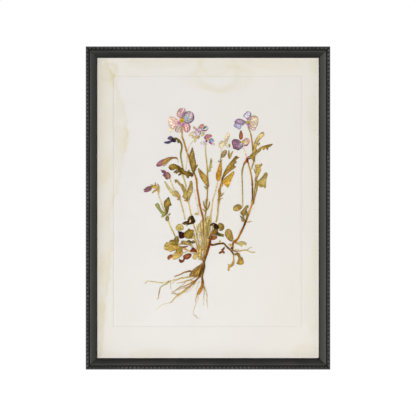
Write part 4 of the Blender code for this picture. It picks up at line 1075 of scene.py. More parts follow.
press("leaf_pair_top_right", "leaf_gold", leaf_finish,
    lay_blade([(257.6, 145.3), (258.8, 143.9), (260.1, 142.4)], 1.9, [GOLD, (163, 130, 53)],
        OLIVE_DARK, STRAW),
    lay_leaf([(249.1, 156.3), (252, 153.5), (255.2, 151.6), (258, 149), (261.2, 146.7),
        (264.8, 145.3), (269, 144.2), (272.8, 143.4)],
        [(254.1, 161.6), (255, 156.7), (257.7, 153.3), (260.2, 151.4), (261.9, 148.8),
        (264, 150.1), (265.5, 148.1), (268, 150.1), (268.7, 147.3), (270.8, 146.3), (273, 144.3)],
        [(145, 112, 35), (180, 149, 75), (182, 151, 79), (170, 136, 61), (151, 116, 39),
        (137, 102, 29)], (113, 82, 21), (202, 170, 87), ribs=9, dark=0.55,
        other_edge=(102, 74, 15)),
    lay_leaf([(251.2, 156.9), (252.4, 152.4), (253.6, 148.6), (253.8, 144.9), (255, 140.6),
        (256.9, 137.3), (259.2, 134.5), (261.6, 132.2), (263.7, 131.6)],
        [(255.4, 156.4), (256, 153.3), (256.6, 150), (256.7, 146.7), (257.7, 143.4),
        (258.8, 141.1), (260.7, 138.8), (263, 136.6), (264.9, 134.5)],
        [(151, 122, 41), (180, 151, 75), (182, 153, 77), (191, 162, 85), (212, 185, 116),
        (221, 196, 130), (214, 185, 122)], (151, 116, 41), (232, 209, 142), edge_from=0.5,
        ribs=10))
press("leaf_group_right", "leaf_gold", leaf_finish,
    lay_leaf([(255, 183.5), (254.7, 187), (254.1, 192.7), (253.6, 199), (253.2, 204.7)],
        [(258, 185.3), (257.8, 188.4), (256.8, 192.7), (255.4, 197.6), (254.1, 204)],
        [(147, 119, 41), (169, 139, 59), (167, 135, 54), (147, 109, 32)], OLIVE_DARK, VEIN_PALE,
        dark=0.4),
    lay_blade([(255.7, 174), (255.1, 171.5), (254, 168.1)], 1.3, [OLIVE, KHAKI], OLIVE_DARK,
        KHAKI),
    lay_leaf(
        [(255.8, 181.4), (258, 180.4), (260, 179), (262.7, 176), (264.7, 173.2), (266.3, 171.9)],
        [(256, 184.6), (258.3, 185.8), (261, 187.4), (263.4, 187), (265.8, 188.1), (266.6, 180),
        (267.9, 174.6), (267.2, 172.4)],
        [(146, 122, 56), (170, 148, 86), (178, 156, 92), (184, 162, 96)], (96, 68, 14),
        (220, 191, 112), edge_from=0.7, rays=4.5, rib_strength=0.45, ragged=0.3,
        other_edge=(159, 127, 54)),
    lay_leaf([(255.1, 184.2), (254.9, 179.2), (255.6, 175.7), (256, 171.5), (255.5, 168.1),
        (255.4, 164.7), (258.8, 164.4)],
        [(257.4, 184.2), (257.2, 180), (258, 176.8), (259.8, 173.2), (261.4, 169.6),
        (260.6, 167.4), (262.4, 165), (261.9, 163.2)],
        [(152, 123, 47), (173, 143, 65), (188, 160, 80), (192, 164, 86), (186, 156, 80)],
        (125, 98, 34), VEIN_PALE, edge_from=0.7, ribs=8))
press("leaf_group_low_right", "leaf_olive", leaf_finish,
    lay_leaf([(242.3, 206.6), (240.4, 204.7), (237.9, 204.2), (235.1, 205.3), (233.2, 207.3)],
        [(242.3, 207.6), (240.6, 209.6), (237.9, 211), (235.1, 211.1), (233.2, 209.8)],
        [(148, 115, 45), (170, 137, 67), (176, 143, 72), (156, 124, 53)], (107, 75, 21), VEIN_PALE,
        edge_from=0.7),
    lay_leaf([(243.4, 221.8), (243.4, 218.6), (242.4, 215.8), (240.9, 214), (240.4, 212.4),
        (242, 210.6), (244, 208.2), (246.4, 205.4)],
        [(245.8, 221.2), (244.6, 218.6), (244.5, 215.8), (245.8, 214.8), (247.5, 212.8),
        (246.7, 209.6), (248.7, 206.9), (248.2, 205.2)],
        [(150, 116, 50), (140, 112, 40), (150, 122, 48), (142, 114, 44), (158, 128, 56),
        (150, 122, 48), (136, 106, 38)], (92, 66, 14), VEIN_PALE, edge_from=0.55, ribs=7,
        dark=0.65, ragged=0.3),
    lay_blade([(245.4, 212.4), (247, 214.8), (247, 217.4)], 2.4, [(146, 118, 44), (140, 106, 38)],
        (100, 72, 18), VEIN_PALE),
    lay_blade([(244, 219.8), (242, 217.8), (240, 215.6)], 1.7,
        [(160, 132, 62), (140, 100, 50), (104, 50, 34)], (84, 44, 22), (160, 116, 62)),
    lay_blade([(244.6, 221.8), (242.6, 221), (241.2, 218.9)], 1.5,
        [(164, 136, 70), (140, 110, 50)], (110, 82, 30), KHAKI),
    lay_blade([(246.5, 221.9), (249.2, 222.1), (252.2, 221.2)], 1.3, [KHAKI, (203, 175, 114)],
        KHAKI, KHAKI, dark=0.2))
press("leaf_pair_far_left", "leaf_olive", leaf_finish,
    lay_leaf([(165.9, 216.6), (165.2, 218.4), (165.8, 220.5), (167, 221.3)],
        [(167, 215.9), (168.7, 216.6), (168.9, 218.8), (168.3, 221)],
        [(130, 119, 46), (119, 105, 34), (103, 86, 21)], (83, 66, 15), VEIN_PALE),
    lay_blade([(165.2, 214.5), (163, 215.9), (160.8, 217.4)], 2.6,
        [(148, 141, 69), (158, 155, 85)], (109, 103, 40), VEIN_PALE, teeth=2),
    lay_leaf([(165, 216), (163.4, 215.6), (161.2, 213.8), (159, 211), (157.1, 208.4),
        (155.3, 206.2), (154.7, 204.2)],
        [(166, 214.6), (165, 213), (163.4, 211.8), (161.6, 210), (160.2, 207.4), (159.2, 204.8),
        (157.6, 202.8)],
        [(132, 123, 53), (148, 147, 76), (158, 159, 89), (164, 163, 90), (150, 147, 78)],
        (103, 103, 40), (178, 181, 113), edge_from=0.65, ribs=8),
    lay_blade([(168, 215.4), (169, 214.6), (170.4, 213.4)], 1.4, [OLIVE, OLIVE], OLIVE_DARK,
        VEIN_DARK),
    lay_leaf(
        [(166.2, 214.4), (165, 209), (163.7, 205.4), (164, 201.6), (165.6, 199.6), (168, 197)],
        [(167.4, 214), (168.6, 209.6), (169.3, 206.6), (171.5, 205), (170.6, 202.6), (170, 200.2),
        (168.8, 196.8)],
        [(95, 74, 19), (128, 103, 36), (150, 123, 50), (154, 127, 53), (111, 86, 25)], (71, 52, 9),
        (178, 149, 74), dark=0.65))


# Leaves of the tuft
# The lower leaves lie in a tangle round the crown.  Some stay olive or straw, and some
# have dried nearly black.

INK_BROWN = (46, 33, 16)
INK_EDGE = (26, 17, 9)
RUST = (154, 84, 50)
press("leaf_low_left", "leaf_gold", leaf_finish,
    lay_leaf([(182.4, 249.4), (178.6, 250.4), (174.4, 253), (171.6, 257.4)],
        [(183, 253), (181.4, 256.4), (177.6, 258.6), (174, 260)],
        [(191, 156, 83), (201, 170, 97), (205, 176, 103)], (151, 115, 43), (181, 145, 69),
        dark=0.4),
    lay_leaf([(176, 236), (174.2, 238.4), (173.9, 241), (174.8, 243.4)],
        [(177.4, 236.2), (178.7, 238.6), (178.8, 241.4), (178, 243.6)],
        [(122, 95, 30), (116, 89, 23), (134, 107, 35)], (83, 60, 10), VEIN_PALE),
    lay_leaf([(181.8, 250.6), (178.9, 254), (175.4, 253.3), (173.1, 254.9), (171.7, 257.8)],
        [(182.6, 253.4), (179.8, 256.6), (176.1, 259.4), (172.7, 259.8)],
        [(202, 169, 89), (212, 183, 106), (219, 191, 113), (214, 185, 106)], (181, 145, 64),
        (189, 154, 71), edge_from=0.7, ribs=5, dark=0.3),
    lay_leaf([(180.9, 246.9), (178.1, 247.9), (175.7, 250.6), (175.9, 252.6)],
        [(182.7, 248.2), (182.3, 251), (180.3, 253), (177.8, 253.7)],
        [(155, 117, 37), (177, 139, 51), (173, 133, 45)], (128, 91, 23), VEIN_PALE, dark=0.45),
    lay_leaf([(179.9, 246.2), (177.5, 244.7), (172.6, 244.5), (169, 242.8), (166.5, 242.5),
        (164.5, 244.9), (163.5, 247.5)],
        [(180.3, 248.5), (178.9, 249.5), (175.4, 250.7), (172.7, 250.9), (170.6, 252.3),
        (168.3, 250.9), (165.3, 250.2), (163.9, 248.6)],
        [(163, 127, 51), (183, 150, 71), (194, 163, 82), (196, 165, 84), (185, 152, 73)],
        (144, 109, 37), (212, 183, 100), edge_from=0.72, dark=0.4),
    lay_leaf([(178.4, 242.6), (175.6, 239.8), (172.4, 239.8), (170, 240.4), (169.2, 242)],
        [(178.4, 245), (175.4, 245.4), (172.2, 245.2), (169.6, 244.2)],
        [(126, 99, 30), (142, 115, 40), (151, 121, 45)], (101, 74, 17), VEIN_PALE),
    lay_leaf([(172.7, 254.7), (170.3, 254.7), (167.7, 256.4), (167, 258.2)],
        [(172.3, 256.8), (170.4, 258.5), (168.7, 260.1), (167.5, 259.5)],
        [(144, 76, 35), (163, 95, 53), (151, 80, 42)], (108, 50, 23), (189, 121, 75)),
    lay_blade([(179.9, 246.6), (183.2, 247.2), (188.4, 246.4)], 1.6,
        [(163, 107, 56), (132, 68, 39), (114, 54, 32)], (99, 46, 24), RUST),
    lay_blade([(181, 247.8), (184.6, 248.6), (188.1, 250.6)], 1.2,
        [(181, 133, 53), (196, 154, 62)], (155, 103, 35), STRAW),
    lay_blade([(179.1, 244.9), (181, 243.9), (183.3, 244.4)], 1.8,
        [(175, 137, 62), (185, 154, 80)], (144, 107, 40), STRAW))
press("leaf_low_middle", "leaf_gold", leaf_finish,
    lay_strand([(191.6, 230), (194.4, 238), (197.6, 248), (201.4, 258.6)], (0.8, 1.0, 0.9),
        [(213, 189, 130), (203, 173, 109), (183, 145, 77)]),
    lay_strand([(196.6, 224.6), (197.4, 234), (199, 244), (202.6, 258)], (0.7, 0.9, 0.9),
        [(216, 194, 144), (205, 179, 117), (189, 153, 86)]),
    lay_strand([(183.4, 249.4), (188.1, 250.6), (194, 253.4), (199.6, 257.6), (203.4, 261.4)],
        (0.8, 1.1, 1.0), [(194, 159, 73), (204, 175, 94), (194, 159, 78), (168, 123, 51)],
        wander=0.3),
    lay_strand([(182.5, 253.4), (188, 251.4), (195, 252), (201, 257)], (0.7, 0.9, 0.8),
        [(204, 175, 96), (194, 163, 81), (198, 169, 93)], wander=0.3),
    lay_strand([(187.6, 240), (191.4, 245), (196, 251.4), (201.6, 259.4)], (0.8, 1.0, 0.9),
        [(188, 159, 87), (202, 175, 102), (184, 147, 73)], wander=0.3),
    lay_strand([(193.4, 232), (195.6, 240), (198.6, 249), (202.4, 259)], (0.9, 1.0, 0.8),
        [(204, 181, 110), (194, 165, 91), (188, 153, 78)]),
    lay_strand([(190.6, 246.6), (194.6, 249), (199, 254), (203, 260)], (0.7, 0.9, 0.8),
        [(168, 129, 60), (194, 159, 83), (174, 133, 62)]),
    lay_strand([(195.8, 258.6), (198, 254), (199.4, 248), (199, 242)], (0.7, 0.8, 0.7),
        [(198, 171, 98), (204, 179, 106), (208, 187, 115)], wander=0.2),
    lay_leaf([(191.7, 245.1), (188.1, 242.1), (183.9, 240.7), (181, 241.1)],
        [(191.1, 246.4), (188.1, 245.4), (184.6, 244.9), (181.3, 243.3)],
        [(168, 143, 78), (158, 131, 66), (148, 123, 57)], (111, 85, 32), VEIN_PALE, dark=0.4),
    lay_leaf([(190.9, 238.9), (189.5, 236.5), (190.7, 234.3), (192.4, 233.5)],
        [(193.1, 238.9), (194.2, 237.2), (194.1, 235), (193.1, 233.3)],
        [(188, 165, 96), (196, 175, 104)], (164, 137, 70), VEIN_PALE, dark=0.25),
    lay_leaf([(196.6, 254.1), (194.2, 254.4), (192.6, 256.6), (192.6, 258.5)],
        [(197.2, 255.4), (196.6, 257.7), (195.3, 259.5), (193.6, 259.5)],
        [(184, 159, 83), (204, 181, 103), (196, 171, 93)], (168, 137, 62), (222, 202, 148),
        dark=0.3),
    lay_leaf([(200.1, 247.1), (198.9, 250.6), (198.3, 254.9), (198.6, 259.9)],
        [(202, 247.2), (201.7, 251.3), (201.1, 255.6), (200.3, 260.2)],
        [(188, 153, 81), (194, 165, 91), (204, 179, 108)], (166, 133, 62), VEIN_PALE, dark=0.3),
    lay_leaf([(197.3, 244.9), (196.5, 248.5), (196.6, 252), (198, 254.1)],
        [(198.9, 244.7), (198.3, 248.5), (198.6, 251.3), (199.3, 254.1)],
        [(194, 157, 87), (188, 149, 78)], (158, 115, 53), VEIN_PALE, dark=0.3),
    lay_blade([(195.6, 242), (193.1, 242.8), (190.9, 242.1), (188.8, 241.1), (186.3, 241.7)], 2.4,
        [(95, 74, 34), (58, 44, 16), (52, 38, 13), (83, 66, 26)], INK_BROWN, GOLD, teeth=3),
    lay_blade([(194.8, 241.7), (193.5, 241.1), (191.9, 241.3)], 1.2, [(71, 56, 22), (95, 75, 34)],
        INK_BROWN, GOLD),
    lay_leaf([(190.1, 250.6), (192, 248.2), (193.9, 247.9), (195.3, 248.9)],
        [(190.7, 252), (193.1, 252), (196.6, 252.9), (196.3, 250.2)],
        [(103, 38, 20), (125, 54, 30), (109, 42, 22)], (71, 22, 9), (158, 83, 48)),
    lay_leaf([(191.4, 254), (188.8, 253.4), (185.3, 254.4), (183.3, 255.8), (182.9, 257.4)],
        [(191.5, 256), (189.8, 258.2), (187, 259.7), (184.6, 259.1), (183.7, 258.2)],
        [(111, 48, 25), (133, 66, 39), (148, 83, 51), (119, 54, 30)], (79, 28, 13),
        (178, 115, 73)),
    lay_blade([(184, 257), (184, 259.1), (183, 261.2)], 1.8, [(115, 50, 26), (125, 58, 32)],
        (83, 32, 14), RUST),
    lay_leaf([(184, 259.9), (181.8, 260.2), (179.3, 259.1), (178.6, 260.2)],
        [(184.2, 261.6), (182.5, 262.8), (180.5, 263.1), (178.9, 261.8)],
        [(125, 58, 32), (111, 48, 26), (119, 56, 32)], (79, 28, 13), (168, 103, 64)))
press("leaf_dark_upper", "leaf_dark", leaf_finish,
    lay_leaf([(183.7, 227.8), (182.5, 225.4), (179.8, 223.9), (177.1, 224.9), (175.5, 227.4)],
        [(183.7, 229.5), (180.3, 230.7), (177.5, 230.7), (175.7, 229.1)],
        [(179, 157, 81), (194, 174, 98), (192, 172, 95)], (157, 131, 63), VEIN_PALE, edge_from=0.7,
        dark=0.3, ribs=4),
    lay_leaf([(184.9, 237.3), (182.2, 238.7), (179.5, 238.4), (178.5, 236.5), (178.6, 234.3)],
        [(184.9, 235), (184.2, 232.8), (182.4, 232), (180.2, 231.4), (177.8, 231.2)],
        [(43, 15, 17), (54, 23, 24), (43, 19, 21)], (24, 6, 7), (80, 32, 30)),
    lay_leaf([(187.6, 238.9), (185.1, 237.6), (183.6, 234.3), (185.3, 231.4), (187.3, 230.1),
        (188.8, 228.1)],
        [(190.9, 239), (192.1, 237.3), (193.2, 235.6), (192.5, 233.6), (193.9, 230.9),
        (192.6, 229.7), (190, 229.7)],
        [(149, 119, 42), (159, 133, 57), (163, 139, 59), (152, 127, 49), (135, 107, 36)],
        (112, 83, 21), (118, 91, 28), edge_from=0.7, rays=3.5, rib_strength=0.5),
    lay_leaf([(181.8, 223.2), (184.9, 221.5), (187.3, 220.8), (187.7, 218.8), (189.4, 216.4),
        (191.4, 215.6)],
        [(182.4, 224.2), (184.6, 224.9), (188, 225), (191.5, 224.1), (193.8, 223), (195, 220.2),
        (193.5, 217.2), (192.2, 215.8)],
        [(152, 117, 56), (94, 69, 28), (62, 43, 16), (41, 26, 9), (55, 39, 14), (41, 26, 9)],
        INK_EDGE, (115, 85, 38), dark=0.6),
    lay_blade([(195.6, 220.4), (193.4, 222.6), (190.4, 224.2)], 1.8,
        [INK_BROWN, (49, 33, 12), (71, 52, 21)], INK_EDGE, (90, 67, 32)),
    lay_blade([(188.2, 220.4), (189.3, 218), (191.2, 216.4)], 1.6,
        [(92, 67, 26), (137, 109, 50), (90, 65, 24)], (62, 43, 14), (154, 122, 60)),
    lay_blade([(193.3, 219.4), (192.9, 217.4), (191.6, 215.2)], 1.7,
        [INK_BROWN, (35, 20, 6), (49, 32, 11)], INK_EDGE, (90, 67, 32)),
    lay_leaf([(189.2, 222.6), (189.3, 220.8), (190.4, 219.6)],
        [(189.6, 222.8), (190.9, 222), (191, 219.8)], [(211, 174, 121), (228, 200, 156)],
        (154, 113, 62), (226, 200, 156), edge_from=0.75, dark=0.2),
    lay_blade([(187.4, 226.6), (186.2, 224.8), (184.6, 223.8)], 1.3,
        [(206, 168, 95), (143, 111, 51)], (113, 83, 32), KHAKI),
    lay_leaf([(194.2, 214.1), (195.9, 212.7), (197.5, 212.7), (199.2, 213.3)],
        [(194.5, 214.8), (196.6, 215.2), (198.3, 215.1), (199.4, 214.1)],
        [(214, 186, 116), (220, 194, 125)], (188, 157, 87), KHAKI, dark=0.2))
press("leaf_low_right", "leaf_dark", leaf_finish,
    lay_leaf([(211.6, 234.9), (211.4, 232.3), (213.1, 230.2), (214.6, 228.5)],
        [(216, 235), (217.7, 233), (218.2, 230.9), (217.8, 228.5)],
        [(121, 75, 28), (133, 95, 31), (122, 95, 33), (74, 53, 15)], (70, 45, 8), (159, 126, 54),
        dark=0.55),
    lay_leaf([(216.4, 233.3), (217.4, 231.9), (219.5, 233), (221.6, 233.8), (224.2, 234.3)],
        [(216.4, 234.7), (218.1, 236), (220.9, 236.6), (223.8, 236.9)],
        [(46, 49, 8), (61, 64, 12), (100, 93, 20), (128, 117, 37)], (56, 53, 8), (121, 115, 44),
        dark=0.45),
    lay_leaf([(217.8, 228.2), (217.8, 225.3), (219.5, 222.7)],
        [(219.9, 231.1), (222.5, 230.5), (224.3, 228.1), (223.8, 225), (221.9, 223.3)],
        [(119, 88, 26), (147, 115, 42), (146, 113, 41), (104, 75, 17)], (67, 44, 5), VEIN_PALE,
        edge_from=0.65, dark=0.55, ribs=4),
    lay_leaf([(215.6, 229), (213.9, 228.4), (213.2, 226.2), (211.4, 226), (210.2, 227)],
        [(216.2, 224), (214.4, 222.9), (212.4, 222.8), (210.4, 224.4), (209.4, 226.2)],
        [INK_BROWN, (65, 44, 8), (89, 64, 17), (54, 35, 5)], INK_EDGE, (111, 86, 29)),
    lay_leaf([(214.2, 229.2), (213.6, 227), (214.2, 224.4), (215.4, 223.4)],
        [(217, 229.6), (219, 227.8), (218.6, 226), (216.8, 224)],
        [(37, 22, 5), (31, 18, 4), (41, 26, 6)], (18, 9, 2), (61, 42, 12)),
    lay_blade([(220.1, 242.9), (219.9, 241.4), (219.6, 240)], 1.8, [(183, 160, 76), PALE_GOLD],
        GOLD, KHAKI, dark=0.2),
    lay_leaf([(210.7, 240.1), (211.9, 236.6), (214, 235.3), (216.7, 235.3)],
        [(211.9, 240.4), (214.6, 239.8), (217, 238.3), (217.4, 236.3)],
        [(111, 56, 20), (142, 81, 37), (164, 108, 58), (140, 79, 36)], (93, 40, 12),
        (183, 135, 78), edge_from=0.5))
press("leaf_low_round", "leaf_gold", leaf_finish,
    lay_leaf([(232.4, 246.6), (230.4, 246.2), (228.7, 245.2), (228.6, 244.1)],
        [(232.9, 246.1), (232.1, 244.9), (230.7, 243.9), (229.3, 243.5)],
        [(184, 161, 92), (206, 187, 122)], (166, 141, 76), KHAKI, dark=0.25),
    lay_leaf([(235.2, 242.9), (237.5, 242.5), (240, 241.6), (242.9, 241.3), (245.8, 242.5),
        (246.8, 244.1)],
        [(235.8, 244.2), (238.6, 244.9), (240.4, 245.9), (241.9, 246.9), (243, 244.9),
        (245.3, 245.2), (246.5, 245.5)],
        [(178, 155, 84), (194, 173, 103), (204, 185, 118), (196, 175, 105)], (160, 136, 71), KHAKI,
        edge_from=0.7, dark=0.3),
    lay_leaf([(232.1, 241.7), (229.8, 241.1), (227.1, 238.7), (225.1, 235.2), (225.1, 232.2),
        (226.3, 229.9), (228.4, 228.7)],
        [(233.1, 241.3), (233.2, 237.3), (232.5, 233.8), (231.3, 230.5), (229.1, 228.8)],
        [(146, 114, 44), (166, 136, 65), (170, 139, 69), (172, 143, 75), (156, 126, 58)],
        (114, 85, 27), (194, 167, 96), edge_from=0.75))
press("leaf_fan", "leaf_gold", leaf_finish,
    lay_stem([(234.9, 255.5), (236.1, 254.1), (237.8, 253.7), (238.3, 255.4), (239.3, 257.1),
        (240.4, 258.4)], (1.4, 1.8, 1.5),
        [(124, 81, 21), (144, 108, 35), (116, 87, 21), (134, 100, 29)],
        joints=((0.3, 0.5, 0.8), (0.55, 0.5, 0.7), (0.85, 0.4, 0.6))),
    lay_blade([(236, 252.6), (237.4, 254.4), (239.4, 256.2), (240.8, 258.6)], 2.6,
        [(94, 73, 25), (136, 104, 36), (147, 116, 40), (128, 94, 27)], (82, 56, 10), GOLD,
        teeth=2),
    lay_blade([(237.6, 254.6), (238.8, 253.8), (239.8, 253.4)], 1.6,
        [(138, 108, 40), (118, 92, 31)], (82, 60, 14), KHAKI),
    lay_leaf(
        [(240, 256.8), (238.4, 258.8), (237.8, 261), (236.7, 263), (236.9, 264.2), (239.2, 264.9)],
        [(240.8, 256.8), (242.6, 257.8), (243.6, 260.6), (243.9, 263), (243, 264.4),
        (241.4, 265.2)],
        [(133, 96, 27), (167, 131, 53), (175, 141, 61), (169, 133, 55), (147, 112, 40)],
        (116, 81, 16), (203, 168, 85), edge_from=0.7, rays=2.5, rib_strength=0.6, dark=0.6))
press("leaf_pair_centre", "leaf_gold", stem_finish,
    lay_strand([(203.6, 220), (204.6, 230), (204.6, 242), (204, 254), (203.8, 261)],
        (0.8, 1.2, 1.1, 1.0), [(210, 188, 131), (195, 168, 108), (187, 155, 92), (172, 133, 70)],
        wander=0.2),
    lay_strand([(210.4, 214), (210, 226), (208.4, 240), (206.6, 250)], (0.9, 1.1, 0.9),
        [(202, 180, 121), (177, 152, 84), (165, 133, 72)]),
    lay_strand([(213.6, 224), (211.8, 232), (209.6, 241)], (1.0, 1.1, 0.9),
        [(191, 161, 98), (172, 130, 72), (146, 100, 50)]),
    lay_strand([(205.2, 226), (206.4, 236), (206, 246), (205, 256)], (0.7, 0.9, 0.8),
        [(201, 183, 124), (191, 168, 108), (177, 146, 84)]),
    lay_leaf([(202.4, 236.4), (201.2, 234.4), (199.2, 232.8), (197.6, 229.8), (197.7, 225.8),
        (199.9, 222.3), (201.1, 220.4)],
        [(203, 236.2), (202.8, 232), (202.8, 228), (202.8, 223.9), (202.2, 219.8)],
        [(190, 165, 100), (195, 172, 112), (199, 179, 121), (191, 172, 112)], (172, 148, 86),
        (214, 199, 147), edge_from=0.75, ribs=9, dark=0.35, ragged=0.3),
    lay_leaf([(203, 252), (201.8, 247), (200.6, 241.4), (199, 236), (199.4, 233.4)],
        [(204, 252), (204, 246), (203.6, 240), (202.4, 236)],
        [(187, 157, 92), (196, 172, 112), (203, 183, 128), (199, 176, 118)], (174, 148, 86),
        (216, 199, 147), edge_from=0.8, ribs=7, dark=0.35, ragged=0.3),
    lay_leaf([(205.8, 236.8), (204.2, 234.6), (203.9, 230.1), (203.7, 223), (205, 218.6),
        (207.4, 216.4)],
        [(208.8, 236.8), (210.4, 234.3), (210, 228.7), (209.3, 223), (210.5, 217.4), (210, 216.4)],
        [(159, 141, 74), (168, 152, 82), (183, 166, 100), (191, 174, 110), (189, 170, 106),
        (193, 168, 100)], (147, 127, 64), (213, 199, 142), edge_from=0.75, rays=2.0, ribs=11,
        dark=0.55, ragged=0.3),
    lay_leaf([(205.4, 246), (204.4, 242), (204.4, 238.6), (205.4, 237.2)],
        [(207, 246), (208.2, 243), (208.8, 240.4), (208, 237.4)],
        [(179, 150, 88), (195, 168, 109), (201, 179, 122)], (167, 139, 78), (214, 199, 147),
        edge_from=0.8, dark=0.3, ragged=0.3),
    lay_blade([(207.9, 237.6), (208.4, 232.2), (208.8, 226.6), (209.8, 218.5)], 1.8,
        [(147, 122, 49), (155, 141, 72), (171, 155, 90)], (137, 111, 45), VEIN_PALE),
    lay_blade([(204.6, 236.9), (205.2, 232.6), (205.7, 229.2), (205.8, 224.6)], 1.8,
        [(155, 137, 66), (177, 161, 96), (183, 166, 104)], (143, 113, 47), VEIN_PALE, dark=0.45),
    lay_strand([(205.9, 219), (206.6, 227), (206.4, 236), (205.8, 245)], (0.5, 0.6, 0.5),
        [(150, 124, 58), (158, 130, 62), (146, 112, 48)], wander=0.2, sides=8),
    lay_strand([(200.4, 224), (200.8, 232), (202.2, 241), (203.4, 250)], (0.5, 0.6, 0.5),
        [(168, 138, 78), (160, 126, 62), (150, 110, 44)], wander=0.2, sides=8),
    lay_strand([(208.6, 219.5), (207.8, 228), (207.2, 238), (206.2, 248)], (0.5, 0.6, 0.5),
        [(142, 116, 50), (150, 120, 54), (150, 108, 46)], wander=0.2, sides=8))
press("runner", "crown_brown", wood_finish,
    lay_stem([(210, 244.5), (212.4, 245.1), (214.6, 244.8), (218.1, 243.9), (221.6, 243.7),
        (223.8, 243.5), (225.9, 245.8), (228.7, 248.6), (231.5, 251.4), (234.1, 255)],
        (2.2, 1.8, 1.6, 1.5),
        [CROWN_RED, (113, 72, 10), (105, 64, 7), (127, 86, 17), (113, 74, 11), (131, 92, 20)],
        joints=((0.42, 0.3, 0.9), (0.7, 0.3, 0.9)), edge=0.55),
    lay_stem([(233.8, 254.6), (233.7, 257.1), (233.8, 259.9), (233.9, 261.3)], (1.4, 1.1, 1.3),
        [(161, 121, 40), (197, 159, 70), (171, 127, 38)]),
    lay_leaf([(233.5, 258.4), (232.7, 261.4), (231.4, 264), (230.4, 266)],
        [(234.2, 258.6), (234.5, 262), (234, 264.8), (231.4, 267.6)],
        [(177, 133, 43), (187, 145, 54), (185, 141, 53), (187, 147, 60), (181, 139, 52)],
        (137, 94, 20), (207, 172, 74), dark=0.45),
    lay_leaf([(230.9, 265.6), (229.4, 264.5), (227.8, 264.4), (228.3, 266.6), (227.8, 269),
        (227.7, 270.6)],
        [(231.4, 266.6), (230.6, 267), (229.9, 268.6), (229.7, 270.2), (228.6, 271.4)],
        [(183, 139, 53), (199, 161, 74), (191, 151, 60), (165, 127, 43)], (150, 110, 33),
        (214, 181, 89), dark=0.45))
press("twig", "leaf_gold", leaf_finish,
    lay_blade([(221.6, 250.7), (223.4, 249.3), (224.7, 246.9)], 2.0,
        [(125, 69, 26), (135, 76, 31)], (93, 42, 13), RUST),
    lay_blade([(223, 251.2), (220.9, 252.4), (218.7, 253.7)], 2.3,
        [(131, 72, 29), (141, 81, 34), (127, 69, 28)], (93, 42, 13), RUST),
    lay_blade([(221.9, 250.6), (223.3, 252.1), (224.7, 253.7)], 2.4,
        [(131, 72, 29), (135, 76, 31)], (93, 42, 13), RUST),
    lay_blade([(223.3, 248.6), (222.5, 249.6), (220.9, 250)], 1.4, [(125, 69, 26), (135, 76, 31)],
        (93, 42, 13), RUST),
    name="pressed_rust_star")
press("stem_right_inner", "crown_brown", wood_finish,
    lay_blade([(247.2, 157), (247.5, 159.8), (248.1, 162.8)], 2.0,
        [(124, 30, 21), (145, 39, 28), (168, 62, 50)], (80, 15, 11), (197, 79, 69)),
    lay_blade([(246.1, 157.9), (247.1, 158.9), (248.2, 160.8)], 1.4,
        [(108, 28, 19), (139, 39, 28)], (72, 17, 11), RUST),
    lay_blade([(247.8, 158.9), (249.2, 158.4), (251, 158.4)], 1.5,
        [(108, 35, 24), (64, 30, 17), (46, 24, 15)], (35, 17, 11), RUST),
    lay_blade([(247.5, 160.8), (246.5, 161.8), (245.9, 163.1)], 1.6,
        [(157, 50, 42), (197, 79, 75)], (124, 35, 28), RUST),
    lay_blade([(247.9, 157.6), (248.6, 156.9), (249.1, 156)], 1.2, [(145, 57, 35), (135, 90, 35)],
        (90, 35, 17), RUST),
    name="pressed_red_cluster")


# Roots
# Dry wiry roots, tan at their tips, spreading from a sheath under the crown and from
# the taproot's end.  Fine fibres branch off the main ones.

root_finish = dry_finish("dry_root", 0.18, 0.24, (4.0, 0.4, 1.0), 0.78, 0.00012)
ROOT_TAN = (202, 180, 122)
ROOT_MID = (170, 134, 62)
ROOT_BROWN = (128, 86, 28)
ROOT_PALE = (222, 206, 170)
press("root_head", "root_brown", root_finish,
    lay_stem(
        [(191.5, 271.2), (188, 271.6), (184.4, 272.8), (180, 274.6), (177, 275.8), (174.2, 277)],
        (1.7, 1.5, 1.2, 0.9), [(130, 85, 29), (152, 110, 48), (172, 129, 61), (162, 116, 47)],
        wander=0.2),
    lay_strand([(196, 277), (191.4, 279.4), (186.6, 281), (180.6, 282.4), (176, 284.4)],
        (1.0, 0.8, 0.5), [ROOT_MID, ROOT_TAN, ROOT_PALE]),
    lay_strand([(190.6, 276.4), (186, 277.4), (181.4, 279.4), (176.2, 280.2)], (0.8, 0.6, 0.4),
        [ROOT_MID, ROOT_TAN, ROOT_PALE], sides=8),
    lay_leaf([(204, 261.6), (200.1, 264.8), (196.6, 266.9), (193.1, 269.7), (190.2, 273.4),
        (188.8, 277)], [(204.8, 262.4), (203.8, 267), (202.4, 271.6), (200.8, 277.6)],
        [(97, 64, 15), (142, 105, 40), (158, 120, 54), (152, 114, 48), (126, 88, 32)],
        (91, 60, 16), (199, 160, 91), edge_from=0.7, crumple=0.3, rays=5.0, rib_strength=0.8,
        dark=0.7),
    lay_blade([(203.4, 264), (201.6, 269.6), (199, 276.8)], 2.4,
        [(81, 49, 11), (71, 43, 11), (91, 58, 18)], (57, 32, 6), (152, 114, 52), teeth=3),
    lay_blade([(196, 270.4), (193, 274), (190.4, 278)], 1.8, [(152, 114, 50), (112, 77, 25)],
        (87, 58, 18), (207, 175, 106)),
    lay_blade([(201.2, 264.4), (197.6, 268.4), (193.4, 273.4)], 1.6,
        [(122, 85, 29), (152, 114, 48)], (87, 58, 18), (193, 156, 88)))
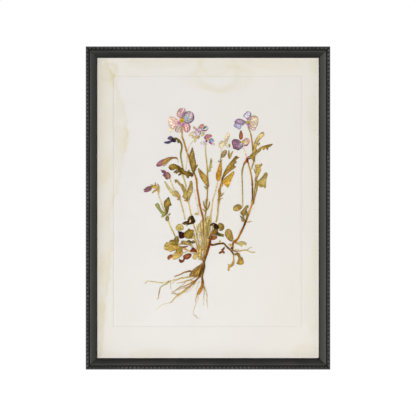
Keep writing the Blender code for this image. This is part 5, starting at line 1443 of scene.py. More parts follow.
press("root_long", "root_brown", root_finish,
    lay_stem([(192, 276.6), (184, 278), (179, 278.6), (174, 280.2), (170, 281.5), (162, 282.8),
        (155, 282.4), (149, 281.2), (146.6, 281.8), (144.8, 284)], (1.4, 1.3, 1.2, 1.0, 0.8),
        [(204, 176, 95), ROOT_TAN, (227, 215, 154), (219, 199, 129), ROOT_TAN], wander=0.3),
    lay_strand([(170.8, 281.4), (170.2, 285), (171, 290.4)], (0.6, 0.4), [ROOT_TAN, ROOT_PALE],
        wander=0.3, sides=8),
    lay_strand([(178, 279), (174.6, 282), (170.4, 284.2)], (0.6, 0.4), [ROOT_TAN, ROOT_PALE],
        wander=0.2, sides=8))
press("root_drop", "root_brown", root_finish,
    lay_stem([(169.2, 281.4), (166, 284.5), (163, 285.5), (160.5, 287.5), (159.5, 290),
        (158.8, 295), (158, 298.5), (156.2, 299.6)], (1.2, 1.1, 1.0, 0.6),
        [ROOT_MID, (188, 182, 113), ROOT_MID, ROOT_TAN], wander=0.2))
press("root_middle", "root_brown", root_finish,
    lay_stem([(200, 276), (196.5, 280), (193, 283.6), (189, 287), (185, 290), (181, 293),
        (178, 295.6), (174, 299), (170.6, 303.4)], (1.8, 1.6, 1.5, 1.3, 0.9),
        [(130, 88, 25), (169, 119, 33), (198, 151, 56), (217, 180, 83), ROOT_TAN], wander=0.25),
    lay_strand([(198.4, 278.4), (194, 281.4), (188.6, 284.4), (183, 286.6), (177, 289.4),
        (173.4, 292), (171.6, 294)], (1.2, 1.1, 0.9, 0.8),
        [ROOT_BROWN, (187, 141, 56), ROOT_MID, ROOT_TAN]),
    lay_strand([(189.4, 287), (184, 288.4), (178, 289.6), (171, 292)], (0.9, 0.7, 0.4),
        [ROOT_MID, ROOT_TAN, ROOT_PALE], wander=0.3),
    lay_strand([(192.4, 283), (191, 280.6), (185.4, 281.4), (181, 283), (177, 283)],
        (0.9, 0.7, 0.4), [ROOT_MID, ROOT_TAN, ROOT_PALE]),
    lay_strand([(186.4, 281.2), (182.6, 285), (178.6, 288), (174.6, 293.4)], (0.7, 0.6, 0.4),
        [ROOT_TAN, ROOT_PALE, ROOT_PALE], sides=8),
    lay_strand([(193.4, 283.4), (188.4, 289), (182.6, 294), (177.6, 298.6)], (0.8, 0.6, 0.4),
        [ROOT_MID, ROOT_TAN, ROOT_PALE], sides=8),
    lay_strand([(180, 293.6), (176.4, 294.6), (174, 293.6), (171, 293.6)], (1.1, 0.9, 0.5),
        [ROOT_TAN, ROOT_MID, ROOT_TAN], wander=0.2),
    lay_strand([(171, 302.6), (166, 304), (162, 305), (158.4, 307.6), (155.4, 310.6)],
        (0.6, 0.6, 0.5), [ROOT_PALE, (239, 230, 172), (227, 221, 161)], wander=0.2, sides=8),
    lay_strand([(199.6, 281), (197, 286), (196, 290.6)], (0.7, 0.4), [ROOT_TAN, ROOT_PALE],
        wander=0.2, sides=8),
    lay_strand([(196.4, 281.4), (193, 286.6), (188.6, 291.4), (184.6, 295)], (0.7, 0.4),
        [ROOT_TAN, ROOT_PALE], sides=8))
press("root_lower", "root_brown", root_finish,
    lay_strand([(197.6, 293.6), (196.4, 297), (195.4, 301), (195.6, 305), (194.6, 308),
        (193.4, 311), (193, 314), (195, 316.4)], (1.4, 0.9, 0.7, 0.6, 0.5),
        [(205, 159, 73), ROOT_TAN, ROOT_PALE, ROOT_PALE, ROOT_PALE], wander=0.2),
    lay_blade([(194, 315.2), (195.2, 316.2), (196.6, 316.6)], 1.2, [ROOT_TAN, ROOT_PALE], ROOT_TAN,
        ROOT_PALE),
    lay_strand([(197.4, 294.4), (198.2, 299), (196.6, 303)], (0.7, 0.4), [ROOT_TAN, ROOT_PALE],
        wander=0.2, sides=8),
    lay_strand([(196, 317), (198.2, 319), (201.4, 317.4)], (0.6, 0.4), [ROOT_TAN, ROOT_PALE],
        wander=0.1, sides=8))
press("root_thread", "root_brown", root_finish,
    lay_strand([(202.8, 283.6), (203.5, 288), (204.5, 292), (203.6, 298), (203.4, 305.4)],
        (1.0, 0.8, 0.5), [ROOT_MID, ROOT_TAN, ROOT_PALE], wander=0.3),
    lay_strand([(203, 284.4), (205.2, 289), (206.5, 294), (207, 299), (207.6, 308.6)],
        (0.9, 0.8, 0.5), [ROOT_MID, ROOT_TAN, ROOT_PALE], wander=0.3))


# Buds
# Closed and half open flowers.  The dark petals are folded on each other inside a calyx
# of narrow sepals.

petal_finish = dry_finish("dried_petal", 0.12, 0.14, (3.0, 0.35, 1.0), 0.6, 0.00008)
CALYX_DARK = (100, 72, 24)
press("bud_indigo", "petal_plum", petal_finish,
    lay_leaf([(172.9, 140), (170.7, 139.7), (168.8, 140), (167.8, 140.4)],
        [(172.9, 141), (170.7, 140.8), (169.1, 140.8), (167.9, 140.8)],
        [(189, 179, 184), (220, 211, 202)], (140, 130, 155), (204, 194, 194), dark=0.2),
    lay_leaf([(172.9, 139.9), (170.1, 140.4), (167, 141), (164.5, 141.5), (163.6, 142.2)],
        [(172.9, 141.1), (169.6, 143.2), (167.5, 143.8), (164.8, 143.2), (163.7, 142.6)],
        [(43, 34, 48), (64, 52, 85), (72, 60, 95), (61, 52, 89)], (33, 27, 56), (113, 100, 136),
        rays=2.0),
    lay_leaf([(175.2, 139.2), (172.3, 136.6), (170.4, 135.7), (168.4, 136.6), (167.2, 138.2)],
        [(174.9, 141.3), (173.3, 141.1), (171.2, 140.4), (169, 139.6), (167.6, 139)],
        [(39, 27, 35), (56, 44, 64), (91, 79, 115), (68, 56, 87)], (35, 27, 52), (130, 117, 152),
        rays=2.5),
    lay_leaf([(175.8, 138.4), (173.9, 138.1), (171.7, 139.2), (170.8, 140.4)],
        [(176.2, 141.5), (174.4, 142.1), (172.3, 141.8), (171, 141.1)],
        [(37, 27, 21), (39, 29, 35), (33, 23, 33)], (22, 15, 21), (76, 60, 77), dark=0.4),
    lay_leaf([(178.7, 140.4), (178, 138.2), (175.6, 137.3), (173.2, 137.7)],
        [(177.7, 142.2), (176.6, 140), (174.9, 139.2), (173.3, 138.7)],
        [(100, 87, 27), (121, 104, 33), (89, 77, 25), (48, 38, 17)], (61, 50, 14), (162, 146, 60),
        dark=0.6, ribs=3),
    lay_leaf([(178.8, 140.8), (177.9, 141.5), (177.2, 142.5)],
        [(179.4, 142), (178.4, 143), (177.6, 142.9)], [(98, 85, 27), (113, 96, 35)], (66, 54, 15),
        OLIVE))
press("bud_hooked", "petal_plum", petal_finish,
    lay_leaf([(166, 158.9), (162.9, 159), (159.8, 160.6), (157.4, 162.4), (156, 164.8)],
        [(166.5, 161.1), (164.8, 162.7), (162.6, 165.1), (159.8, 166.4), (156.9, 166.5),
        (156, 165.5)],
        [(119, 60, 73), (140, 86, 91), (153, 103, 106), (149, 95, 98), (117, 62, 80)],
        (92, 43, 66), (176, 129, 130), rays=2.5),
    lay_leaf([(171.9, 158.3), (168.3, 160.3), (165.3, 162.4), (163.4, 165)],
        [(171.5, 159.6), (169.5, 161), (166.6, 164), (164, 166.4)],
        [(159, 122, 53), (181, 147, 82), (190, 160, 102)], (140, 100, 37), PALE_GOLD),
    lay_leaf([(175.9, 157), (171.4, 156.7), (167.7, 157.3), (164.6, 158.8), (162.5, 161.8),
        (161.1, 164.8)],
        [(175.9, 158.4), (172, 158.8), (169.1, 159.6), (166.3, 161.9), (163.6, 164.1),
        (161.5, 165.5)],
        [(111, 71, 14), (134, 89, 27), (159, 114, 50), (174, 134, 76), (168, 127, 73)],
        (100, 63, 14), (205, 170, 104), ribs=5),
    lay_leaf([(165.8, 162.2), (164.2, 164), (162.8, 166.2)],
        [(166.6, 163.3), (165.3, 165.2), (163.5, 166.5)], [(183, 147, 93), (192, 162, 107)],
        (151, 114, 60), PALE_GOLD, dark=0.3),
    lay_stem([(174.2, 157.4), (175.6, 157.6), (176.7, 158.1), (177.7, 160), (178.3, 162.8)],
        (1.7, 1.3, 0.8, 0.6), [(134, 91, 25), (143, 103, 37), PALE_STRAW, PALE_STRAW]))
press("bud_open", "petal_plum", petal_finish,
    lay_leaf([(166.4, 172), (165.2, 170.6), (163.4, 169.7), (161.9, 170.2), (160.4, 168.8)],
        [(166, 174), (164.4, 173.4), (162.4, 172.9), (161.4, 171.8), (160.6, 169.6)],
        [(104, 56, 72), (124, 71, 94), (111, 62, 87), (79, 39, 65)], (71, 33, 54), (153, 105, 127),
        rays=2.0),
    lay_leaf([(166.4, 173.4), (164.2, 173.2), (162.3, 175.2)],
        [(166.6, 177.6), (164.9, 177.4), (163.4, 176.2), (162.4, 175.5)],
        [(109, 62, 78), (104, 56, 83), (81, 41, 70)], (70, 33, 56), (142, 94, 113), rays=2.0),
    lay_leaf(
        [(169.6, 178), (167.2, 179.5), (165.2, 178.6), (164.7, 176), (165, 173.6), (166.2, 172.2)],
        [(169.9, 177.8), (170.5, 175.6), (169.9, 173.5), (168.4, 172), (167, 171.8), (166.4, 172)],
        [(106, 65, 50), (138, 92, 80), (159, 111, 100), (149, 98, 94), (117, 67, 76)],
        (87, 48, 36), (185, 141, 127), rays=2.0, dark=0.55, edge_from=0.55),
    lay_leaf([(170.4, 177.6), (170.6, 175.4), (169.2, 173)],
        [(169.4, 178.6), (169.5, 176.2), (168.2, 173.4)],
        [(109, 75, 30), (111, 73, 39), (117, 73, 50)], CALYX_DARK, PALE_GOLD, dark=0.4))
press("bud_far_left", "petal_plum", petal_finish,
    lay_leaf([(152.2, 186), (149.4, 185.9), (146.6, 186.7), (144.6, 188.4), (143, 189.6)],
        [(151.6, 188.4), (149.6, 189.6), (147.4, 190), (145.4, 190), (143.4, 190.2)],
        [(105, 57, 46), (132, 81, 88), (126, 75, 97), (98, 51, 75), (65, 31, 55)], (58, 27, 48),
        (179, 129, 135), rays=2.5, dark=0.7),
    lay_leaf([(151.8, 187.6), (149.4, 188.6), (146.6, 189.4), (143.4, 190.8)],
        [(151.2, 190), (149, 191.4), (146.4, 192.2), (144, 192)],
        [(120, 71, 66), (141, 90, 93), (117, 66, 84), (86, 44, 70)], (67, 31, 51), (187, 138, 137),
        rays=2.5, dark=0.7),
    lay_blade([(157.2, 189.4), (155.6, 186), (155.2, 182)], 1.9, [(188, 153, 72), (197, 167, 86)],
        (134, 99, 35), PALE_GOLD),
    lay_blade([(157.6, 189), (153.8, 186.2), (150.2, 184.6)], 2.1,
        [(178, 140, 60), (195, 163, 81)], (128, 92, 29), PALE_GOLD),
    lay_blade([(157.2, 190), (154.2, 191), (151.8, 193.4)], 1.8, [(188, 153, 72), (195, 161, 81)],
        (134, 99, 35), PALE_GOLD),
    lay_blade([(158.6, 191.4), (156, 187.6), (151.2, 187)], 2.8,
        [(163, 122, 40), (191, 155, 70), (199, 169, 89)], (128, 92, 29), PALE_GOLD, fullness=0.9),
    lay_blade([(159, 189.6), (158.2, 185.4), (157, 183.8)], 1.6, [(188, 153, 72), (201, 173, 96)],
        (134, 99, 35), PALE_GOLD),
    lay_stem([(157.4, 187), (158.6, 190), (159, 193.6)], (1.0, 1.3, 1.0),
        [(206, 176, 91), (196, 163, 76), PALE_STRAW]))


# Flowers
# Five thin petals round a yellow throat.  They have dried to mauve, rose, cream and grey,
# with the dark veins and rims of the living flower.

def lay_petal(left, right, colours, rim, vein, rays, **look):
    """A petal: a thin leaf between two margins whose veins fan out from its foot."""
    look = {"edge_from": 0.82, "thick": 0.12, "dark": 0.3, "rib_strength": 0.85,
            "rim_fill": 1.7} | look
    return lay_leaf(left, right, colours, rim, vein, rays=rays, **look)


press("flower_large", "petal_lilac", petal_finish,
    lay_petal([(172.6, 125.4), (170.4, 126.6), (169.2, 129.3), (169.6, 131.5)],
        [(173.1, 127.7), (172.9, 129.3), (171.7, 131.1), (170.1, 132.3)],
        [(232, 220, 178), (236, 226, 184), (232, 224, 180)], (220, 206, 150), (208, 199, 131),
        1.5),
    lay_petal([(180.6, 123.9), (178.6, 124.5), (175.9, 127.2), (174.7, 129.8), (175.8, 131.7),
        (177.6, 132.5)],
        [(181.5, 124.5), (181.6, 127.7), (181, 130.5), (179.7, 132), (178.1, 132.6)],
        [(194, 152, 169), (208, 201, 173), (216, 204, 182), (206, 201, 162)], (156, 138, 94),
        (166, 105, 131), 2.5),
    lay_petal([(181.5, 119.5), (179.6, 117.9), (177.5, 116.4), (176.5, 113.9), (177.6, 110.7),
        (179.1, 108.6), (181.2, 107.7), (182.9, 107.5)],
        [(182.6, 119.2), (183.2, 116.6), (183.4, 114.8), (184.5, 112.6), (185.7, 111.2),
        (185.6, 109.4), (184.3, 108), (183.1, 107.5)],
        [(186, 122, 151), (212, 178, 178), (224, 200, 196), (224, 198, 196), (206, 178, 168)],
        (200, 160, 110), (168, 76, 116), 3.0, other_edge=(150, 132, 136), ragged=0.5, dark=0.5,
        rib_strength=1.2),
    lay_blade([(180.8, 118.6), (180.4, 114.4), (180.2, 109.6)], 1.5,
        [(168, 98, 136), (182, 116, 142), (204, 160, 164)], (190, 140, 140), (220, 190, 190),
        dark=0.3),
    lay_blade([(178.8, 116.6), (177.6, 114.2), (178, 111.2)], 1.2,
        [(196, 140, 120), (204, 156, 124), (206, 172, 140)], (190, 140, 110), (220, 190, 170),
        dark=0.3),
    lay_petal([(180.9, 120.7), (177, 119), (174.9, 117.4), (172.3, 116.4), (169.6, 116.6),
        (168.3, 118.8)],
        [(180.3, 122), (178.6, 124.1), (176.5, 126.6), (174.5, 127.8), (173.3, 129),
        (171.2, 127.8), (168.9, 125.6), (168.1, 122.9), (168.1, 120.3)],
        [(184, 116, 170), (230, 206, 214), (244, 236, 222), (246, 240, 216), (242, 230, 182)],
        (222, 200, 140), (196, 96, 110), 4.5, ragged=0.6, dark=0.4, edge_from=0.85),
    lay_blade([(178.6, 121.8), (174, 121.5), (168.2, 122.5)], 0.5,
        [(168, 96, 146), (206, 118, 122), (222, 132, 96)], (214, 150, 110), (226, 190, 150),
        dark=0.2),
    lay_blade([(178.4, 122.6), (174.4, 123.8), (168.6, 125.7)], 0.6,
        [(168, 96, 140), (200, 104, 100), (216, 126, 92)], (210, 140, 104), (226, 190, 150),
        dark=0.2),
    lay_blade([(177.6, 123.6), (175.2, 125.8), (172.8, 129)], 0.8,
        [(184, 116, 140), (208, 124, 110), (212, 130, 104)], (206, 134, 100), (226, 190, 150),
        dark=0.2),
    lay_blade([(177.4, 120.4), (174.2, 119.2), (169.4, 118)], 0.6,
        [(196, 146, 150), (214, 164, 128), (220, 186, 126)], (210, 166, 104), (230, 206, 160),
        dark=0.2),
    lay_petal([(182.8, 122.3), (182.9, 126.6), (183.8, 129.8), (185.4, 131.7), (186.9, 132.3)],
        [(183.9, 122.5), (185.9, 122.5), (188.9, 123.6), (190.5, 126.4), (190.1, 129.4),
        (188.7, 131.6), (187.3, 132.4)],
        [(185, 97, 151), (226, 186, 192), (234, 202, 196), (232, 196, 186), (212, 166, 150)],
        (166, 78, 79), (168, 62, 88), 3.0, dark=0.45, ragged=0.4, rib_strength=1.25),
    lay_petal([(183.9, 121.7), (183.6, 118.2), (183.5, 115), (184.9, 112.3), (187.1, 111.1),
        (189.9, 110.9)],
        [(184, 122), (186.2, 123), (188.7, 123.3), (191.5, 122.2), (193.6, 119.8), (194.2, 116.6),
        (193.3, 113.4), (191.8, 111.8), (190.3, 111.1)],
        [(152, 174, 187), (180, 190, 196), (204, 196, 196), (204, 186, 190), (176, 150, 160)],
        (92, 58, 74), (146, 104, 128), 3.0, dark=0.6, edge_from=0.72),
    lay_petal([(183.9, 121.1), (183.7, 118.7), (184.3, 115.5), (185.5, 113.7)],
        [(185.5, 121.7), (187.1, 119.2), (187.2, 116), (186.2, 113.7)],
        [(152, 170, 185), (166, 185, 187), (185, 195, 187)], (164, 180, 179), (132, 158, 173), 1.5,
        dark=0.2),
    lay_petal([(180.8, 121.6), (178.6, 121.4), (177.4, 122.2)],
        [(181.3, 122.9), (179.7, 124.1), (177.7, 123.6)], [(185, 122, 179), (190, 130, 179)],
        (190, 132, 169), (164, 89, 151), 1.5, dark=0.2),
    lay_petal([(182.3, 123.1), (181.2, 124.5), (181.3, 125.6)],
        [(183.8, 122.9), (183.9, 124.5), (182.7, 125.8)], [(180, 101, 151), (190, 122, 160)],
        (185, 114, 151), (156, 73, 131), 1.5, dark=0.2),
    lay_leaf([(179.6, 121.6), (179.8, 119.2), (181.2, 118.1), (183.2, 117.9)],
        [(180.1, 122.5), (182.3, 122.7), (184, 121), (184.5, 118.9)],
        [(200, 162, 37), (206, 180, 52), (190, 162, 46)], (194, 132, 37), (190, 142, 28),
        dark=0.25),
    lay_leaf([(181.2, 120.8), (181.5, 119.9), (182.3, 119.6)],
        [(181.5, 121.2), (182.3, 121), (182.8, 120.2)], [(108, 120, 22), (116, 124, 28)],
        (96, 101, 16), OLIVE, dark=0.2))
press("flower_small_left", "petal_lilac", petal_finish,
    lay_petal([(195.6, 128.7), (194.2, 129.1), (193.1, 128.3), (193.1, 126.9), (194, 126)],
        [(196.1, 128.1), (195.4, 127.2), (194.7, 126.4), (194.3, 126)],
        [(197, 176, 133), (193, 176, 120), (188, 170, 107)], (171, 151, 83), (161, 139, 85), 1.5),
    lay_petal([(194.9, 131.4), (193.4, 131), (191.6, 131.7), (189.5, 133.8), (188.6, 135.3)],
        [(194.7, 132.8), (194.3, 133.2), (192.6, 134.6), (190.5, 136), (188.8, 136)],
        [(216, 194, 176), (222, 208, 184), (213, 194, 139), (199, 174, 107)], (191, 161, 95),
        (197, 168, 115), 2.0),
    lay_blade([(192.9, 134.8), (192.6, 136.6), (192.3, 138.4)], 1.9,
        [(220, 206, 176), (207, 194, 131)], (191, 174, 107), (191, 174, 115)),
    lay_petal([(196.3, 135.3), (194.2, 135.9), (193.8, 138.7), (194.2, 141.4), (194.7, 142.3)],
        [(196.8, 135.5), (196.8, 136.9), (196.5, 139.3), (195.8, 141.4), (195.2, 142.3)],
        [(207, 188, 153), (205, 186, 131), (211, 198, 143), (205, 190, 129)], (186, 161, 95),
        (179, 153, 95), 2.0),
    lay_petal([(197, 135.3), (196.7, 137.3), (197.4, 138.4), (198.1, 138.7)],
        [(199.7, 134.8), (200, 136.2), (199.5, 137.7), (198.6, 138.7)],
        [(201, 176, 149), (186, 161, 115), (182, 159, 111)], (159, 137, 81), (151, 122, 85), 2.0),
    lay_petal([(200.4, 133.8), (200.9, 135.3), (201.9, 136.2), (202.6, 136.2)],
        [(202.2, 131.9), (204.7, 132.3), (204.9, 133.2), (203.5, 135.3)],
        [(207, 194, 162), (211, 202, 149), (207, 196, 141)], (186, 168, 103), (171, 149, 105),
        2.0),
    lay_petal([(194.9, 130.7), (194.5, 132.4), (195.1, 133.9), (196.4, 135.2), (198.2, 135.1)],
        [(196.4, 129.4), (198.8, 129.4), (200.8, 130.7), (201, 132.8), (200, 134.5)],
        [(207, 182, 191), (222, 212, 208), (222, 210, 212), (213, 194, 195)], (191, 168, 181),
        (186, 143, 181), 3.0),
    lay_petal([(198.1, 129.4), (196.5, 127.9), (195.2, 128.2), (194.9, 129.5)],
        [(197.9, 130.5), (196.4, 130.7), (195.4, 130.3), (195, 129.7)],
        [(184, 133, 181), (191, 149, 187), (193, 153, 181)], (179, 139, 168), (151, 94, 153), 1.5),
    lay_petal([(198.1, 129.1), (198, 127.6), (199.4, 125.5), (201.2, 124), (202.7, 123.7)],
        [(201.3, 128.7), (202, 127.3), (203.8, 125.6), (204, 124.5), (202.9, 123.7)],
        [(180, 134, 148), (206, 150, 140), (208, 144, 128), (178, 112, 96)], (140, 84, 76),
        (161, 85, 87), 2.5, edge_from=0.7),
    lay_petal([(200.7, 130.7), (201.3, 128.8), (202.8, 126.9), (204.7, 125.8), (206.8, 125.7),
        (208.2, 127.2)],
        [(201.6, 131.3), (203.3, 131.1), (205.4, 131.2), (207.3, 130), (208.3, 128.5),
        (208.3, 127.6)], [(171, 143, 181), (197, 204, 198), (217, 220, 197), (207, 200, 153)],
        (177, 153, 91), (111, 133, 162), 3.0, other_edge=(182, 92, 99), edge_from=0.7),
    lay_leaf([(202.9, 128.9), (203.7, 127.2), (205.4, 126.3), (206.5, 126.2)],
        [(203.6, 129.1), (204.7, 128.1), (205.8, 127.3), (206.6, 126.5)],
        [(96, 112, 153), (58, 94, 131), (64, 102, 133), (131, 163, 162)], (90, 122, 143),
        (60, 92, 133), dark=0.3),
    lay_leaf([(202, 130.5), (203.3, 129.8), (205.1, 129.8), (206.8, 129.8)],
        [(202.1, 131.2), (203.7, 131.1), (205.4, 131.1), (206.8, 130.5)],
        [(141, 92, 143), (171, 75, 99), (186, 85, 99), (182, 106, 105)], (161, 71, 91),
        (151, 62, 85), dark=0.3),
    lay_leaf([(199.2, 130.7), (199.6, 132.1), (199.3, 133.8)],
        [(200.3, 130.3), (201, 132.1), (200.2, 134.5)],
        [(182, 143, 181), (171, 135, 176), (177, 143, 177)], (161, 122, 168), (141, 92, 153),
        dark=0.2),
    lay_leaf([(197.9, 132.3), (197.9, 131.1), (198.6, 130.2)],
        [(198.9, 132.4), (199.3, 131.3), (199, 130.2)], [(205, 190, 47), (213, 202, 57)],
        (191, 172, 47), (151, 153, 38), dark=0.2))
press("flower_small_middle", "petal_lilac", petal_finish,
    lay_petal([(205.8, 141.8), (204, 140.9), (202.2, 141.2), (200.3, 142.3)],
        [(205.6, 144.6), (203.3, 145), (201.3, 144.7), (200.2, 143.6)],
        [(213, 199, 197), (222, 216, 214), (216, 208, 210)], (182, 171, 171), (190, 173, 181),
        1.5),
    lay_petal([(208.4, 141.3), (209.8, 143.6), (212, 145), (213.8, 145.2)],
        [(210, 141.4), (213.1, 142.3), (214.9, 143.5), (214.5, 144.8)],
        [(186, 114, 153), (213, 185, 181), (221, 198, 183), (213, 185, 163)], (184, 128, 130),
        (182, 114, 143), 2.0),
    lay_petal(
        [(207, 139), (205.4, 139.5), (204.1, 138.3), (204.5, 136.2), (206.1, 134.4), (208.2, 134)],
        [(209, 138.5), (209.7, 137.4), (211.8, 136.4), (212, 135.2), (210.4, 134.2), (208.6, 134)],
        [(182, 93, 134), (190, 128, 140), (186, 134, 124), (178, 122, 111)], (141, 81, 80),
        (155, 79, 107), 3.0, edge_from=0.68),
    lay_petal([(208.6, 140), (210.3, 137.9), (212.4, 138.2), (214.5, 140.4)],
        [(209.6, 141.9), (211.7, 142.3), (213.8, 141.6), (214.6, 140.6)],
        [(120, 112, 166), (146, 168, 196), (176, 196, 206), (198, 200, 198)], (170, 150, 166),
        (104, 116, 168), 2.0, dark=0.5),
    lay_leaf([(208.2, 141.4), (209.6, 143), (211.7, 144.1)],
        [(209.2, 141.3), (210.6, 142.5), (212, 143.6)],
        [(145, 42, 124), (145, 46, 122), (176, 83, 134)], (134, 46, 105), (114, 25, 95), dark=0.2),
    lay_leaf([(207.4, 140), (205.9, 139.8), (205.3, 140.9)],
        [(207.5, 141.4), (206.8, 142.1), (205.5, 141.6)],
        [(145, 46, 114), (130, 38, 114), (145, 62, 134)], (124, 46, 99), (114, 25, 95), dark=0.2),
    lay_leaf([(207, 139.6), (207.3, 138.5), (208.6, 138.2), (209.7, 138.8)],
        [(207, 139.8), (208.2, 140.3), (209.5, 139.8), (209.8, 139.1)],
        [(223, 187, 57), (240, 208, 66), (155, 128, 38)], (176, 134, 48), (196, 155, 38),
        dark=0.3))
press("flower_faded", "petal_ghost", petal_finish,
    lay_blade([(224.6, 142.4), (226.8, 144.6), (228.6, 147.2)], 3.6,
        [(218, 204, 174), (224, 212, 186)], (210, 189, 138), (202, 177, 122)),
    lay_blade([(223.8, 140.8), (221.4, 144.2), (221.4, 148.6)], 5.4,
        [(218, 203, 166), (222, 210, 182), (216, 200, 166)], (208, 189, 140), (200, 177, 120)),
    lay_blade([(225, 143.4), (227, 138), (228.8, 131.8)], 4.0,
        [(220, 204, 176), (222, 204, 176), (222, 208, 182)], (210, 185, 133), (212, 169, 122)),
    lay_blade([(229.2, 147.4), (229.6, 145.6), (229.4, 143.6)], 1.7, [OLIVE, (172, 158, 86)],
        OLIVE_DARK, OLIVE),
    lay_blade([(229.4, 159), (228.8, 154.6), (229, 149.8)], 1.9, [GOLD, (174, 150, 73)],
        OLIVE_DARK, GOLD),
    lay_blade([(229.6, 159), (231, 154.8), (233.2, 150.8)], 1.8, [GOLD, (180, 156, 82)],
        OLIVE_DARK, GOLD))
press("stem_faded", "petal_ghost", leaf_finish,
    lay_blade([(220.8, 158), (223.4, 154.4), (226.4, 150)], 4.8,
        [(147, 125, 73), (169, 146, 96), (163, 139, 88)], (130, 107, 59), (192, 173, 129),
        widest=0.55),
    name="pressed_faded_leaf")
press("flower_plum", "petal_plum", petal_finish,
    lay_petal([(242.4, 141), (244.2, 139), (246.3, 137.9), (248.4, 138.3), (250, 140.1)],
        [(243, 143.5), (245.6, 144.4), (248.4, 143.5), (250, 141.9), (250.1, 140.8)],
        [(202, 194, 126), (228, 222, 180), (228, 204, 184), (218, 180, 142)], (176, 101, 81),
        (182, 81, 98), 4.5, edge_from=0.8, dark=0.5, ragged=0.4),
    lay_leaf([(243.2, 144.7), (244.9, 144.9), (246.8, 144.6), (248.7, 143.1)],
        [(243.4, 145.4), (245.2, 146), (247.3, 145.6), (248.9, 143.6)],
        [(166, 97, 116), (186, 101, 109), (182, 101, 100)], (148, 70, 82), (148, 58, 81)),
    lay_petal([(243, 142.3), (241.3, 141.7), (239.9, 140.4), (237.3, 139.2), (234.8, 138.9),
        (232.4, 140), (231.8, 142)],
        [(243.2, 143.3), (243.2, 145.3), (242.8, 146.9), (240.4, 148.9), (238.2, 150.1),
        (235.9, 149.3), (233.4, 148.5), (232.7, 146), (231.9, 143.3)],
        [(196, 200, 191), (172, 159, 167), (151, 116, 133), (148, 104, 122), (136, 91, 108)],
        (76, 38, 58), (110, 58, 93), 4.0, dark=0.6, edge_from=0.72, ragged=0.3),
    lay_petal([(241.6, 142.6), (240.4, 143.3), (239.3, 145)],
        [(243, 143.6), (242.5, 145), (240.4, 145.7)],
        [(202, 207, 192), (186, 184, 184), (157, 136, 147)], (172, 159, 165), (148, 126, 147), 1.5,
        dark=0.2),
    lay_leaf([(240.5, 139.7), (239.5, 138.5), (239.2, 136.9), (239.3, 134.2), (240, 131.5),
        (240.9, 130)],
        [(241, 139.7), (242.5, 138.5), (243, 136.3), (242.7, 133.6), (241.8, 131.1),
        (241.2, 129.9)],
        [(108, 42, 26), (157, 74, 52), (168, 89, 64), (161, 80, 56), (132, 56, 37)], (102, 44, 27),
        (196, 136, 98), ribs=4, crumple=0.25),
    lay_leaf([(240.7, 141.9), (241.3, 140.9), (243, 140.7), (244.6, 139.7)],
        [(241.4, 142.7), (242.8, 142.7), (244.1, 141.5), (245, 140.1)],
        [(196, 200, 171), (212, 171, 44), (210, 182, 71), (202, 180, 98)], (186, 145, 62),
        (186, 136, 35), dark=0.25))
